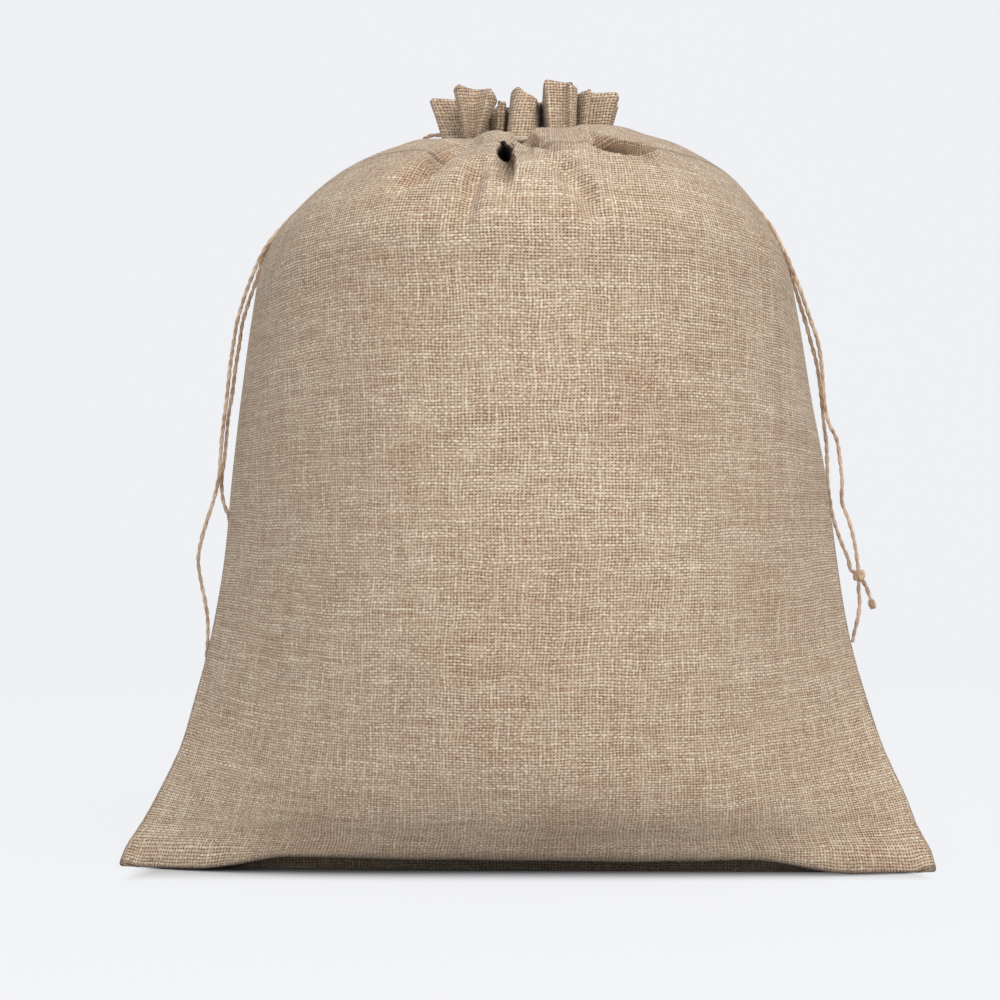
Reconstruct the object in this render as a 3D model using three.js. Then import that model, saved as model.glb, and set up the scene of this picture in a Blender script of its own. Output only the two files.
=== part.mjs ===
// A drawstring gift bag of coarse plain-weave cloth, drawn shut and standing on its bottom seam.
//
// Two panels are sewn to each other at the bottom and along both sides. Their top edge is turned
// over into a channel for two twine drawstrings, and what stands above the channel is the heading.
// Pulling the strings gathers the channel into a small pleated neck, and the heading ruffles out
// over it. Each string leaves the channel at one side seam, where its two ends are knotted.
//
// Millimetres, +Z up. The origin is the middle of the base. The front faces -Y.

import * as THREE from 'three';

// ---- Driving dimensions ---------------------------------------------------------------------

const GIRTH = 604;          // cloth all round the bag, both panels, seam to seam
const CLOTH = 1.0;          // thickness of the cloth
const GAP = 0.3;            // between two pieces that touch
const SLIT = 3.0;           // opening left in each side seam where the strings come out
const TWINE = 1.8;          // thickness of the twine
const EDGE_START = 0.45;    // where a ring starts to rise or droop towards its side seams
const SHOULDER = 0.12;      // share of a fold's depth that rounds the pleats beside it
const WALL = 0.6;           // width of a fold's wall, as a share of half the fold
const ROUNDING = 1.4;       // width of the rounding of the pleats beside it, in the same share
const FLOOR = 0.45;         // half the width of a fold's floor, in the same share
const APART = 1.1;          // least angle between a column of the cloth and those of a crease
const SEAM_SHARE = 0.6;     // most of the way to the seam plane that the inner face may go

const CLOTH_COLOUR = '#b8a38e';
const TWINE_COLOUR = '#c09a76';

// ---- Sections of the bag --------------------------------------------------------------------
//
// One row for each ring of the cloth, from the bottom seam to the neck.
//   mid, side   height of the ring at the middle of a panel and at the side seams
//   half        half its width, seam to seam
//   depth       half its depth, or 0 where the girth of the cloth settles it
//   pinch       1 where the panels meet in a sharp edge at the seams, 0 where the ring is round
//   shift       sideways shift of the ring
//   forward     shift of a lower ring towards the front
//   yaw         turn of a lower ring about the upright axis, degrees
//   sink        direction in which a fold sinks, in the upper rings: 0 inwards, 90 straight down
//   gather      how far an upper ring has gone over, in plan, to the pleats of the heading, 0 to 1
//   slit        how far open the side seams are left for the strings, 0 to 1

const LOWER_RINGS = [
  { mid: 0,   side: 0.2, half: 141.4, depth: 0.01, pinch: 1,    shift: -1.0, forward: 8,   yaw: -3.4 },
  { mid: 0,   side: 0.5, half: 144.6, depth: 8,    pinch: 1,    shift: -1.0, forward: 8,   yaw: -3.4 },
  { mid: 0,   side: 1.3, half: 147.0, depth: 16,   pinch: 1,    shift: -1.0, forward: 8,   yaw: -3.4 },
  { mid: 4.8, side: 3.8, half: 148.0, depth: 24,   pinch: 1,    shift: -1.0, forward: 7.8, yaw: -3.4 },
  { mid: 6,   side: 6.4, half: 146.8, depth: 32,   pinch: 1,    shift: -1.0, forward: 7.5, yaw: -3.4 },
  { mid: 9.6, side: 10,  half: 143.6, depth: 39,   pinch: 1,    shift: -0.6, forward: 7.2, yaw: -3.3 },
  { mid: 15,  side: 17,  half: 140.2, depth: 46,   pinch: 1,    shift: 0.2,  forward: 6.6, yaw: -3.1 },
  { mid: 24,  side: 29,  half: 135.0, depth: 0,    pinch: 1,    shift: 1.0,  forward: 5.8, yaw: -2.9 },
  { mid: 38,  side: 44,  half: 128.0, depth: 0,    pinch: 1,    shift: 1.2,  forward: 4,   yaw: -2.6 },
  { mid: 56,  side: 62,  half: 122.4, depth: 0,    pinch: 0.95, shift: 0.9,  forward: 2,   yaw: -2.1 },
  { mid: 80,  side: 84,  half: 116.5, depth: 0,    pinch: 0.85, shift: 0.8,  forward: 1,   yaw: -1.6 },
  { mid: 110, side: 112, half: 111.8, depth: 0,    pinch: 0.7,  shift: 1.1,  forward: 0,   yaw: -0.9 },
  { mid: 145, side: 143, half: 108.3, depth: 0,    pinch: 0.5,  shift: 0.6,  forward: 0,   yaw: -0.4 },
  { mid: 180, side: 173, half: 103.7, depth: 0,    pinch: 0.25, shift: -0.4, forward: 0,   yaw: 0 },
  { mid: 207, side: 198, half: 99.8,  depth: 0,    pinch: 0.08, shift: -0.8, forward: 0,   yaw: 0 },
];

const UPPER_RINGS = [
  { mid: 226,   side: 216.5, half: 96.0, depth: 96, pinch: 0, shift: -1.2, sink: 14, gather: 0, slit: 0 },
  { mid: 238,   side: 228.5, half: 91.0, depth: 92, pinch: 0, shift: -1.2, sink: 28, gather: 0, slit: 0 },
  { mid: 248,   side: 240,   half: 82.6, depth: 85, pinch: 0, shift: 0.3,  sink: 42, gather: 0, slit: 0 },
  { mid: 255,   side: 249,   half: 73.6, depth: 76, pinch: 0, shift: 1.8,  sink: 55, gather: 0, slit: 0 },
  { mid: 260,   side: 256,   half: 63.4, depth: 66, pinch: 0, shift: 2.6,  sink: 66, gather: 0, slit: 0 },
  { mid: 263.2, side: 261,   half: 52.6, depth: 56, pinch: 0, shift: 3.2,  sink: 74, gather: 0, slit: 0 },
  { mid: 264.4, side: 264,   half: 43.2, depth: 46, pinch: 0, shift: 3.4,  sink: 80, gather: 0, slit: 0 },
  { mid: 263.6, side: 264.2, half: 36.2, depth: 37, pinch: 0, shift: 1.8,  sink: 76, gather: 0.05, slit: 0 },
  { mid: 261.8, side: 262,   half: 31.2, depth: 29, pinch: 0, shift: -0.4, sink: 46, gather: 0.2, slit: 0.4 },
];

// ---- Folds of the gathered neck -------------------------------------------------------------
//
// One row for each fold between two pleats, round the bag from the left side seam over the front,
// the right side seam and the back. Angles are in degrees from the middle of the front.
//   neck, foot  where the fold lies at the neck, and where it runs out on the shoulder
//   deep        how far it sinks at the neck
//   wide        half its width in degrees, at the neck
//   run         how many rings below the neck it reaches
//   spread      how much wider it is at its foot

const NECK_RING = 9;        // level of the neck, where every fold has its full depth

const FOLDS = [
  { neck: -54, foot: -60, deep: 12, wide: 5, run: 6,   spread: 1.4 },
  { neck: -24, foot: -31, deep: 9,  wide: 4, run: 7.5, spread: 1.0 },
  { neck: -11, foot: -9,  deep: 15, wide: 4.5, run: 6, spread: 0.9 },
  { neck: 8,   foot: 7,   deep: 13, wide: 6, run: 4,   spread: 0.8 },
  { neck: 27,  foot: 30,  deep: 4,  wide: 6, run: 4,   spread: 1.4 },
  { neck: 46,  foot: 52,  deep: 12, wide: 7, run: 5,   spread: 0.8 },
  { neck: 122, foot: 118, deep: 13, wide: 7, run: 6,   spread: 1.4 },
  { neck: 152, foot: 153, deep: 13, wide: 7, run: 7,   spread: 1.2 },
  { neck: 184, foot: 182, deep: 13, wide: 7, run: 5.5, spread: 1.2 },
  { neck: 216, foot: 212, deep: 13, wide: 7, run: 6,   spread: 1.3 },
  { neck: 243, foot: 250, deep: 12, wide: 7, run: 6,   spread: 1.4 },
];

// One row for each crease that crosses the shoulder between the folds.
//   top, foot   levels at which it starts and runs out
//   from, to    where it lies at those levels
//   deep        how far it sinks halfway down
//   wide        half its width in degrees

const CREASES = [
  { top: 4.8, foot: 1.0, from: -13, to: -30, deep: 4.5, wide: 5 },
  { top: 4.6, foot: 0.6, from: -7,  to: -5.5, deep: 9,  wide: 3.6 },
  { top: 5.2, foot: 1.3, from: 8,   to: 38,  deep: 8,   wide: 5 },
];

// ---- Pleats of the heading ------------------------------------------------------------------
//
// One row for each pleat, round the bag from the one that wraps the left side seam.
//   turn        where the valley before the pleat meets the neck, degrees
//   valley      where that valley lies
//   sag         height of the valley's top edge
//   left, right           the pleat's two sides at the neck
//   leftTop, rightTop     the same at the top edge
//   tops        heights at the top edge: left side, left corner, right corner, right side
//   bulge       how far the face stands out from the line between its sides, neck and top
//   dip         how far the face falls in again between its corners, neck and top
//   dipAt       where it does, as a share of the way from corner to corner

const PLEATS = [
  { turn: -117, valley: [-16, 6.5], sag: 277.4, left: [-27.5, 6.5], right: [-29.6, -8],
    leftTop: [-31, 7.5], rightTop: [-34, -9], tops: [278.4, 278.2, 278.2, 278.6],
    bulge: [1.6, 1.8], dip: [0.5, 0.6], dipAt: 0.6 },
  { turn: -54, valley: [-18.5, -8], sag: 278, left: [-23, -18], right: [-16.8, -18],
    leftTop: [-26.6, -19], rightTop: [-10.9, -19.5], tops: [279.6, 281.4, 279.9, 276.6],
    bulge: [3, 6], dip: [1.6, 3], dipAt: 0.45 },
  { turn: -24, valley: [-13.6, -7.5], sag: 273.6, left: [-12, -10.8], right: [-8.6, -9.8],
    leftTop: [-11.2, -10.6], rightTop: [-7.8, -9], tops: [275.6, 277.4, 277.2, 275.8],
    bulge: [1.4, 1.4], dip: [0.2, 0.2], dipAt: 0.5 },
  { turn: -11, valley: [-6, -5.5], sag: 274.4, left: [-7.6, -14], right: [3.6, -17.5],
    leftTop: [-5.9, -14], rightTop: [4, -12.6], tops: [280, 281.8, 277.6, 276.2],
    bulge: [3.5, 5], dip: [-2, 1], dipAt: 0.4 },
  { turn: 8, valley: [5, -8], sag: 277.4, left: [7.2, -17.5], right: [17.4, -18.5],
    leftTop: [5.6, -16.5], rightTop: [17.9, -19], tops: [281.4, 284.2, 282, 281],
    bulge: [5, 5.5], dip: [1.5, 1.4], dipAt: 0.72 },
  { turn: 46, valley: [14.5, -9.5], sag: 279.2, left: [18.4, -14.5], right: [28.2, -9],
    leftTop: [19.2, -15.5], rightTop: [33, -10.5], tops: [280.2, 280.5, 279.8, 277.6],
    bulge: [2.5, 4], dip: [2, 2.8], dipAt: 0.3 },
  { turn: 90, valley: [28.2, 0], sag: 277, left: [29, 5], right: [23, 14],
    leftTop: [32.4, 5.5], rightTop: [26, 16], tops: [277.8, 278.4, 279.2, 278.8],
    bulge: [2.2, 2.6], dip: [0.8, 1], dipAt: 0.5 },
  { turn: 122, valley: [15, 9], sag: 277.6, left: [20.5, 15.5], right: [12.5, 20],
    leftTop: [23, 17.5], rightTop: [13.5, 22.5], tops: [279, 280, 280.2, 279.2],
    bulge: [3.4, 4], dip: [1.6, 2], dipAt: 0.5 },
  { turn: 152, valley: [9, 9], sag: 277.4, left: [9.8, 18], right: [1.5, 20.5],
    leftTop: [10.6, 20], rightTop: [1.2, 23], tops: [278.8, 279.8, 279.2, 278.4],
    bulge: [3.4, 4], dip: [1.2, 1.5], dipAt: 0.4 },
  { turn: 184, valley: [0, 9.4], sag: 277, left: [-2.6, 19], right: [-11, 19.5],
    leftTop: [-2.8, 21.5], rightTop: [-12.4, 22], tops: [278, 279, 279.8, 279],
    bulge: [3.4, 4], dip: [1.6, 2], dipAt: 0.6 },
  { turn: 216, valley: [-10, 9.2], sag: 277.4, left: [-14.5, 18], right: [-22.5, 14.5],
    leftTop: [-15.8, 20], rightTop: [-25.2, 16.6], tops: [279, 280, 279.6, 278.6],
    bulge: [3, 3.6], dip: [1.4, 2], dipAt: 0.5 },
];

const NECK_HEIGHT = 264;    // height at which the heading starts
const CORNER = 0.14;        // share of a pleat's width that each of its corners takes up
const SIDE_TURN = 7;        // cloth from a valley to the side of the pleat, in degrees of the neck
const CORNER_TURN = 10.5;   // the same, to the corner of the pleat
const SIDE_MOST = 0.26;     // most of a pleat's turn that the way to its side takes up
const CORNER_MOST = 0.34;   // the same, to its corner
const DIP_FIRST = 0.2;      // least and most of the way from corner to corner, by turn, at which
const DIP_LAST = 0.8;       // the face of a pleat can have its dip
const LEAN = 1.06;          // how much further out a valley lies at the top edge than at the neck
const FLARE = 1.2;          // above 1 the pleats spread more near the top edge

// Rows of the heading, as shares of the way from the neck to the top edge.
const HEADING_ROWS = [
  { rise: 0,    shift: 0, slit: 1 },
  { rise: 0.28, shift: 0, slit: 1 },
  { rise: 0.52, shift: 0, slit: 0.4 },
  { rise: 0.78, shift: 0, slit: 0 },
  { rise: 1,    shift: 0, slit: 0 },
];

// ---- Twine ----------------------------------------------------------------------------------
//
// Points of each free end, from the side seam to its own end: [x, y, z].

const LEFT_OUTER = [
  [-25, 0, 267.2], [-31, 0.1, 267.2], [-34.8, 1.4, 267.2], [-37.2, 4.6, 266.6], [-39.3, 8.6, 264.8],
  [-41.6, 12, 262.4], [-45.5, 15, 260.5], [-53, 17.2, 258.4], [-62, 17.2, 255.2], [-70.5, 15, 251.2],
  [-76, 12, 247.2], [-80.4, 9, 243.6], [-85.6, 6.2, 238.6], [-91.5, 4, 232], [-96.5, 3, 225],
  [-100.5, 2.5, 216], [-103.4, 2, 208], [-105.9, 2, 199.5], [-107.3, 2, 191.5], [-108.6, 2, 182.5],
  [-109.6, 2, 173], [-110.6, 2.2, 165], [-111.6, 2.4, 157], [-112.2, 2.6, 149], [-112.8, 2.8, 142],
  [-114.4, 3, 135], [-117, 3.2, 127], [-119.2, 3.5, 119.5], [-120.4, 3.7, 112], [-119.6, 4, 105],
  [-118.2, 4.8, 98], [-117.2, 5.6, 91], [-117.2, 6.8, 83], [-117.8, 8.2, 76], [-117.4, 9.8, 68],
  [-116.6, 14.4, 61], [-116.2, 16.4, 55], [-116.8, 17.4, 48], [-118.4, 17.8, 41],
];
const LEFT_INNER = [
  [-25, 0, 264.8], [-31, 0.1, 264.8], [-34, 2.6, 265.45], [-35.6, 6.2, 265.35], [-37.8, 10.2, 263.6],
  [-39.6, 13.8, 261.2], [-43.6, 17.2, 260.2], [-52, 19.8, 258.5], [-61, 19.8, 255.4], [-69.6, 18, 251.9],
  [-75.4, 15.1, 248], [-79.8, 12, 244.2], [-85.2, 9.2, 238.8], [-91.6, 6.4, 231.3],
  [-96.3, 5.2, 223.8], [-99, 4.8, 215], [-101.8, 4.6, 207], [-104.2, 4.5, 199],
  [-105.4, 4.5, 191], [-106.8, 4.5, 182.5], [-108, 4.5, 173], [-109.4, 4.8, 165], [-110.2, 5.2, 157],
  [-111, 5.6, 149], [-112, 6, 142], [-111.6, 6.6, 134], [-109.4, 8.2, 127], [-108.2, 10.2, 118],
  [-108, 12.4, 108], [-108.6, 14.2, 98], [-109.8, 15, 88], [-111.4, 16, 78], [-111.8, 17.2, 68],
  [-112.8, 17.2, 60.2],
];
const RIGHT_OUTER = [
  [24, 0, 267.2], [29, 0.1, 267.2], [34, 1.6, 267.5], [40, 4.6, 267.4], [48, 8, 265.4],
  [57, 9.5, 262], [66.3, 9.5, 257.3], [76.2, 8, 249.8], [83.5, 6, 242], [89.5, 4.5, 234], [94, 3.5, 225.5],
  [97.4, 3, 217.5], [100.6, 2.5, 209], [103.6, 2, 200], [106, 2, 193], [107.4, 2, 185.5],
  [108.2, 2, 177.5], [108.8, 2, 169.5], [110.2, 2, 162.5], [113.2, 2, 156], [114.4, 2, 148.5],
  [115.2, 2, 141], [115.1, 2, 133.5], [117.6, 2, 126.6], [119.5, 2, 119.5], [120.7, 2, 112],
  [121.3, 2, 106.5], [121.2, 2, 101.5], [121.6, 2, 96.5], [121, 2.2, 91], [119.8, 2.4, 86],
  [119, 2.6, 82],
];
const RIGHT_INNER = [
  [24, 0, 264.8], [29, 0.1, 264.8], [34, 2.8, 265.3], [40, 7, 266], [48, 10.8, 264.6],
  [57, 12.3, 261.3], [66.4, 12.3, 256.8], [76.5, 10.5, 249.3], [83.9, 8.4, 241.3],
  [89.8, 6.8, 233.3], [94, 5.8, 224.7], [96.8, 5.4, 216.6], [99.4, 5, 208], [102, 4.6, 199.5],
  [104, 4.5, 192], [106, 4.5, 184.5], [107.2, 4.5, 177], [108, 4.5, 169.5], [108.8, 4.8, 162],
  [109.8, 5.4, 154.5], [110.2, 6.4, 147], [110.6, 7.2, 139.5], [111.6, 7.6, 132], [113.2, 7.4, 125],
  [115.6, 6.6, 118], [117.9, 5.4, 112], [118.6, 4.2, 108.4],
];

const LEFT_KNOT_AT = [-116.3, 15.6, 57.5];
const LEFT_KNOT_ALONG = [-0.06, -0.3, 1];
const LEFT_TAIL = { from: [-114, 16.4, 54.8], tip: [-112, 19.8, 46.4] };
const RIGHT_KNOT_AT = [121.3, 2, 106.5];
const RIGHT_KNOT_ALONG = [-0.04, 0, 1];
const RIGHT_TAIL = { from: [123.5, 2, 103.2], tip: [126.6, 2.2, 94.2] };

const KNOT_RADIUS = 2.9;
const KNOT_LENGTH = 5;
const TAIL_BULB = 1.35;     // radius of the frayed lump that ends the short tail

// ---- Shape of the cloth ---------------------------------------------------------------------

const RADIANS = Math.PI / 180;

const clamp = (value, low, high) => Math.min(Math.max(value, low), high);
const blend = (from, to, share) => from + (to - from) * share;
const ease = (share) => share * share * (3 - 2 * share);

// Point of a plain ring at an angle from the middle of the front, before any fold.
function ringPoint(ring, depth, angle) {
  const across = Math.sin(angle * RADIANS);
  const along = Math.cos(angle * RADIANS);
  const y = -depth * Math.sign(along) * Math.abs(along) ** (1 + ring.pinch);
  const edge = Math.max(0, (Math.abs(across) - EDGE_START) / (1 - EDGE_START)) ** 2;
  return new THREE.Vector3(ring.half * across, y, blend(ring.mid, ring.side, edge));
}

// Length round a ring, used to find the depth at which the cloth is neither slack nor stretched.
function girthOf(ring, depth) {
  const STEPS = 180;
  let length = 0;
  for (let step = 0; step < STEPS; step += 1) {
    const here = ringPoint(ring, depth, (step * 360) / STEPS);
    const next = ringPoint(ring, depth, ((step + 1) * 360) / STEPS);
    length += here.distanceTo(next);
  }
  return length;
}

function depthOf(ring) {
  if (ring.depth > 0) return ring.depth;
  let low = 0;
  let high = ring.half * 1.5;
  for (let round = 0; round < 40; round += 1) {
    const middle = (low + high) / 2;
    if (girthOf(ring, middle) < GIRTH) low = middle;
    else high = middle;
  }
  return low;
}

// How far a fold sinks across its width: flat in its floor, steep in its walls, and with soft
// shoulders that round the pleats beside it.
function notch(offset) {
  const wall = ease(clamp((1 - Math.abs(offset)) / WALL, 0, 1));
  const shoulder = ease(clamp((2 - Math.abs(offset)) / ROUNDING, 0, 1));
  return blend(wall, shoulder, SHOULDER);
}

// Where a fold lies at an upper ring, how wide it is there and how deep.
function foldAt(fold, level) {
  const down = clamp((NECK_RING - level) / fold.run, 0, 1);
  return {
    angle: blend(fold.neck, fold.foot, down),
    wide: fold.wide * (1 + fold.spread * down),
    depth: fold.deep * (1 - down) ** 1.2,
  };
}

// The same for a crease.
function creaseAt(crease, level) {
  const along = clamp((crease.top - level) / (crease.top - crease.foot), 0, 1);
  return {
    angle: blend(crease.from, crease.to, along),
    wide: crease.wide,
    depth: crease.deep * Math.sin(Math.PI * along),
  };
}

const turnBetween = (from, to) => ((to - from + 540) % 360) - 180;

function sinkAt(level, angle) {
  const here = [
    ...FOLDS.map((fold) => foldAt(fold, level)),
    ...CREASES.map((crease) => creaseAt(crease, level)),
  ];
  return here.reduce((sum, { angle: middle, wide, depth }) => (
    sum + depth * notch(turnBetween(middle, angle) / wide)
  ), 0);
}

// Point of the outer face of the cloth at an upper ring.
function upperPoint(level, angle) {
  const ring = UPPER_RINGS[level];
  const point = ringPoint(ring, ring.depth, angle);
  const sink = sinkAt(level, angle);
  const reach = Math.hypot(point.x, point.y);
  const inwards = sink * Math.cos(ring.sink * RADIANS);
  point.x -= (point.x / reach) * inwards;
  point.y -= (point.y / reach) * inwards;
  point.z -= sink * Math.sin(ring.sink * RADIANS);
  const pleated = headingPoint(headingCorners(0), angle);
  point.x = blend(point.x, pleated.x - ring.shift, ring.gather);
  point.y = blend(point.y, pleated.y, ring.gather);
  return point;
}

// Corners of one pleat at a rise: their turns round the neck and their points.
function pleatCorners(pleat, next, rise) {
  const flare = rise ** FLARE;
  const between = (from, to, share) => [blend(from[0], to[0], share), blend(from[1], to[1], share)];
  const leaning = (valley) => valley.map((value) => value * blend(1, LEAN, rise));
  const valley = leaning(pleat.valley);
  const left = between(pleat.left, pleat.leftTop, flare);
  const right = between(pleat.right, pleat.rightTop, flare);
  const face = [right[0] - left[0], right[1] - left[1]];
  const width = Math.hypot(...face);
  const bulge = blend(...pleat.bulge, rise);
  const dip = blend(...pleat.dip, rise);
  const onFace = (share, out) => [
    left[0] + face[0] * share + (face[1] / width) * out,
    left[1] + face[1] * share - (face[0] / width) * out,
  ];
  const [leftSide, leftCorner, rightCorner, rightSide] = pleat.tops;
  const span = (next.turn - pleat.turn + 360) % 360;
  const side = Math.min(SIDE_TURN / span, SIDE_MOST);
  const corner = Math.min(CORNER_TURN / span, CORNER_MOST);
  const middle = blend(corner, 1 - corner, blend(DIP_FIRST, DIP_LAST, pleat.dipAt));
  const corners = [
    { share: 0,          at: valley, top: pleat.sag },
    { share: side / 2,   at: between(valley, left, 0.5), top: (pleat.sag + leftSide) / 2 },
    { share: side,       at: left, top: leftSide },
    { share: corner,     at: onFace(CORNER, bulge), top: leftCorner },
    {
      share: middle,
      at: onFace(blend(CORNER, 1 - CORNER, pleat.dipAt), bulge - dip),
      top: (leftCorner + rightCorner) / 2,
    },
    { share: 1 - corner, at: onFace(1 - CORNER, bulge), top: rightCorner },
    { share: 1 - side,   at: right, top: rightSide },
    {
      share: 1 - side / 2,
      at: between(right, leaning(next.valley), 0.5),
      top: (rightSide + next.sag) / 2,
    },
  ];
  return corners.map(({ share, at, top }) => ({
    turn: (pleat.turn + span * share + 450) % 360 - 90,
    point: new THREE.Vector3(at[0], at[1], blend(NECK_HEIGHT, top, rise)),
  }));
}

// All corners of the heading at a rise, in the order of their turns from the left side seam.
function headingCorners(rise) {
  const corners = PLEATS.flatMap((pleat, index) => (
    pleatCorners(pleat, PLEATS[(index + 1) % PLEATS.length], rise)
  )).sort((a, b) => a.turn - b.turn);
  const first = corners[0];
  const last = corners[corners.length - 1];
  return [
    { turn: last.turn - 360, point: last.point }, ...corners,
    { turn: first.turn + 360, point: first.point },
  ];
}

// Point of the heading at an angle, on the straight line between the corners beside it.
function headingPoint(corners, angle) {
  const index = corners.findIndex((corner) => corner.turn >= angle);
  const to = corners[index];
  const from = corners[index - 1];
  return from.point.clone().lerp(to.point, (angle - from.turn) / (to.turn - from.turn));
}

// ---- Panels ---------------------------------------------------------------------------------

// Angles of a panel's columns at an upper ring: the two walls, the floor and the pleat of each
// fold, which stay with the cloth where the fold turns aside.
function upperAngles(level, first, last) {
  const folds = FOLDS.map((fold) => ({
    neck: fold.neck, here: foldAt(fold, level).angle, wide: fold.wide,
  })).filter((fold) => fold.neck > first && fold.neck < last);
  const knots = [
    { neck: first, here: first, wide: 0 }, ...folds, { neck: last, here: last, wide: 0 },
  ];
  const angles = [first];
  for (let index = 0; index + 1 < knots.length; index += 1) {
    const from = knots[index];
    const to = knots[index + 1];
    const span = to.neck - from.neck;
    const shares = [];
    if (from.wide > 0) shares.push((FLOOR * from.wide) / span, from.wide / span);
    shares.push(0.5 + (from.wide - to.wide) / (2 * span));
    if (to.wide > 0) shares.push(1 - to.wide / span, 1 - (FLOOR * to.wide) / span);
    shares.push(1);
    shares.forEach((share) => angles.push(blend(from.here, to.here, share)));
  }
  const creased = CREASES.map((crease) => creaseAt(crease, level))
    .filter((crease) => crease.depth > 0 && crease.angle > first && crease.angle < last)
    .flatMap(({ angle, wide }) => [-1, -FLOOR, 0, FLOOR, 1].map((side) => angle + side * wide));
  const clear = angles.filter((angle) => creased.every((other) => Math.abs(angle - other) > APART));
  return [...clear, ...creased].sort((a, b) => a - b);
}

function evenAngles(first, last, count) {
  return Array.from({ length: count + 1 }, (_, index) => blend(first, last, index / count));
}

// Triangles between two rows of columns, lower row first, seen from outside with the angle
// growing to the right.
function zipRows(lower, upper) {
  const triangles = [];
  let low = 0;
  let high = 0;
  while (low + 1 < lower.length || high + 1 < upper.length) {
    const lowNext = low + 1 < lower.length ? lower[low + 1].angle : Infinity;
    const highNext = high + 1 < upper.length ? upper[high + 1].angle : Infinity;
    if (lowNext <= highNext) {
      triangles.push([lower[low].id, lower[low + 1].id, upper[high].id]);
      low += 1;
    } else {
      triangles.push([lower[low].id, upper[high + 1].id, upper[high].id]);
      high += 1;
    }
  }
  return triangles;
}

// The outward direction at each point of the outer face, as long as the cloth has to be offset.
// Each triangle counts by its angle at the point, so that both walls of a narrow fold count alike.
function offsetsOf(points, triangles, seamIds) {
  const shares = points.map(() => []);
  triangles.forEach((triangle) => {
    const face = new THREE.Triangle(...triangle.map((id) => points[id]));
    const normal = face.getNormal(new THREE.Vector3());
    triangle.forEach((id, corner) => {
      const [one, other] = [1, 2].map((step) => points[triangle[(corner + step) % 3]].clone());
      const angle = one.sub(points[id]).angleTo(other.sub(points[id]));
      shares[id].push({ normal, angle });
    });
  });
  const LONGEST = 1.6;
  return shares.map((faces, id) => {
    const sum = new THREE.Vector3();
    faces.forEach(({ normal, angle }) => sum.addScaledVector(normal, angle));
    if (seamIds.has(id)) sum.y = 0;
    sum.normalize();
    const total = faces.reduce((all, { angle }) => all + angle, 0);
    const lean = faces.reduce((all, { normal, angle }) => all + angle * normal.dot(sum), 0);
    return sum.multiplyScalar(CLOTH * clamp(total / lean, 1, LONGEST));
  });
}

// One panel: its outer face, its inner face one cloth thickness inside it, and its four edges.
// side is -1 for the front panel and 1 for the back panel.
function panel(name, first, last, side) {
  const COLUMNS = 18;
  const points = [];
  const rings = [];
  const rows = [];
  const seamIds = new Set();
  const addRow = (ring, angles, pointOf) => {
    const row = angles.map((angle) => {
      points.push(pointOf(angle));
      rings.push(ring);
      return { angle, id: points.length - 1 };
    });
    seamIds.add(row[0].id);
    seamIds.add(row[row.length - 1].id);
    rows.push(row);
  };
  LOWER_RINGS.forEach((ring) => {
    const depth = depthOf(ring);
    addRow(ring, evenAngles(first, last, COLUMNS), (angle) => ringPoint(ring, depth, angle));
  });
  UPPER_RINGS.forEach((ring, level) => {
    addRow(ring, upperAngles(level, first, last), (angle) => upperPoint(level, angle));
  });
  HEADING_ROWS.forEach((row) => {
    const corners = headingCorners(row.rise);
    const turns = corners.map((corner) => corner.turn);
    const angles = [first, ...turns.filter((turn) => turn > first && turn < last), last];
    addRow(row, angles, (angle) => headingPoint(corners, angle));
  });
  rows[0].forEach((column) => seamIds.add(column.id));

  // The panels stay half a gap off the plane of their seams, or half a slit where it is open.
  const clearOf = (id) => blend(GAP, SLIT, rings[id].slit || 0) / 2;
  points.forEach((point, id) => {
    const off = Math.max(clearOf(id), side * point.y);
    point.y = side * (seamIds.has(id) ? clearOf(id) : off);
  });

  const outer = [];
  for (let index = 0; index + 1 < rows.length; index += 1) {
    outer.push(...zipRows(rows[index], rows[index + 1]));
  }
  const offsets = offsetsOf(points, outer, seamIds);
  // The pleats run straight up to the top edge, so that its columns are those of the row below.
  const [below, top] = rows.slice(-2);
  top.forEach((column, index) => offsets[column.id].copy(offsets[below[index].id]));
  const inner = points.map((point, id) => {
    const moved = point.clone().sub(offsets[id]);
    const room = SEAM_SHARE * (side * point.y - clearOf(id));
    moved.y = side * Math.max(side * moved.y, side * point.y - room);
    return moved;
  });

  const count = points.length;
  const faces = outer.flatMap(([a, b, c]) => [[a, b, c], [c + count, b + count, a + count]]);
  const closeEdge = (ids) => {
    for (let index = 0; index + 1 < ids.length; index += 1) {
      const from = ids[index];
      const to = ids[index + 1];
      faces.push([to, from, from + count], [to, from + count, to + count]);
    }
  };
  closeEdge(rows[0].map((column) => column.id));
  closeEdge(rows[rows.length - 1].map((column) => column.id).reverse());
  closeEdge(rows.map((row) => row[0].id).reverse());
  closeEdge(rows.map((row) => row[row.length - 1].id));

  const place = (point, { shift, forward = 0, yaw = 0 }) => {
    const turn = yaw * RADIANS;
    return [
      point.x * Math.cos(turn) - point.y * Math.sin(turn) + shift,
      point.x * Math.sin(turn) + point.y * Math.cos(turn) - forward,
      point.z,
    ];
  };
  const positions = [...points, ...inner].flatMap((point, id) => place(point, rings[id % count]));
  const geometry = new THREE.BufferGeometry();
  geometry.setAttribute('position', new THREE.Float32BufferAttribute(positions, 3));
  geometry.setIndex(faces.flat());
  geometry.computeVertexNormals();
  return named(name, geometry, clothMaterial());
}

// ---- Drawstrings ----------------------------------------------------------------------------

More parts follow.
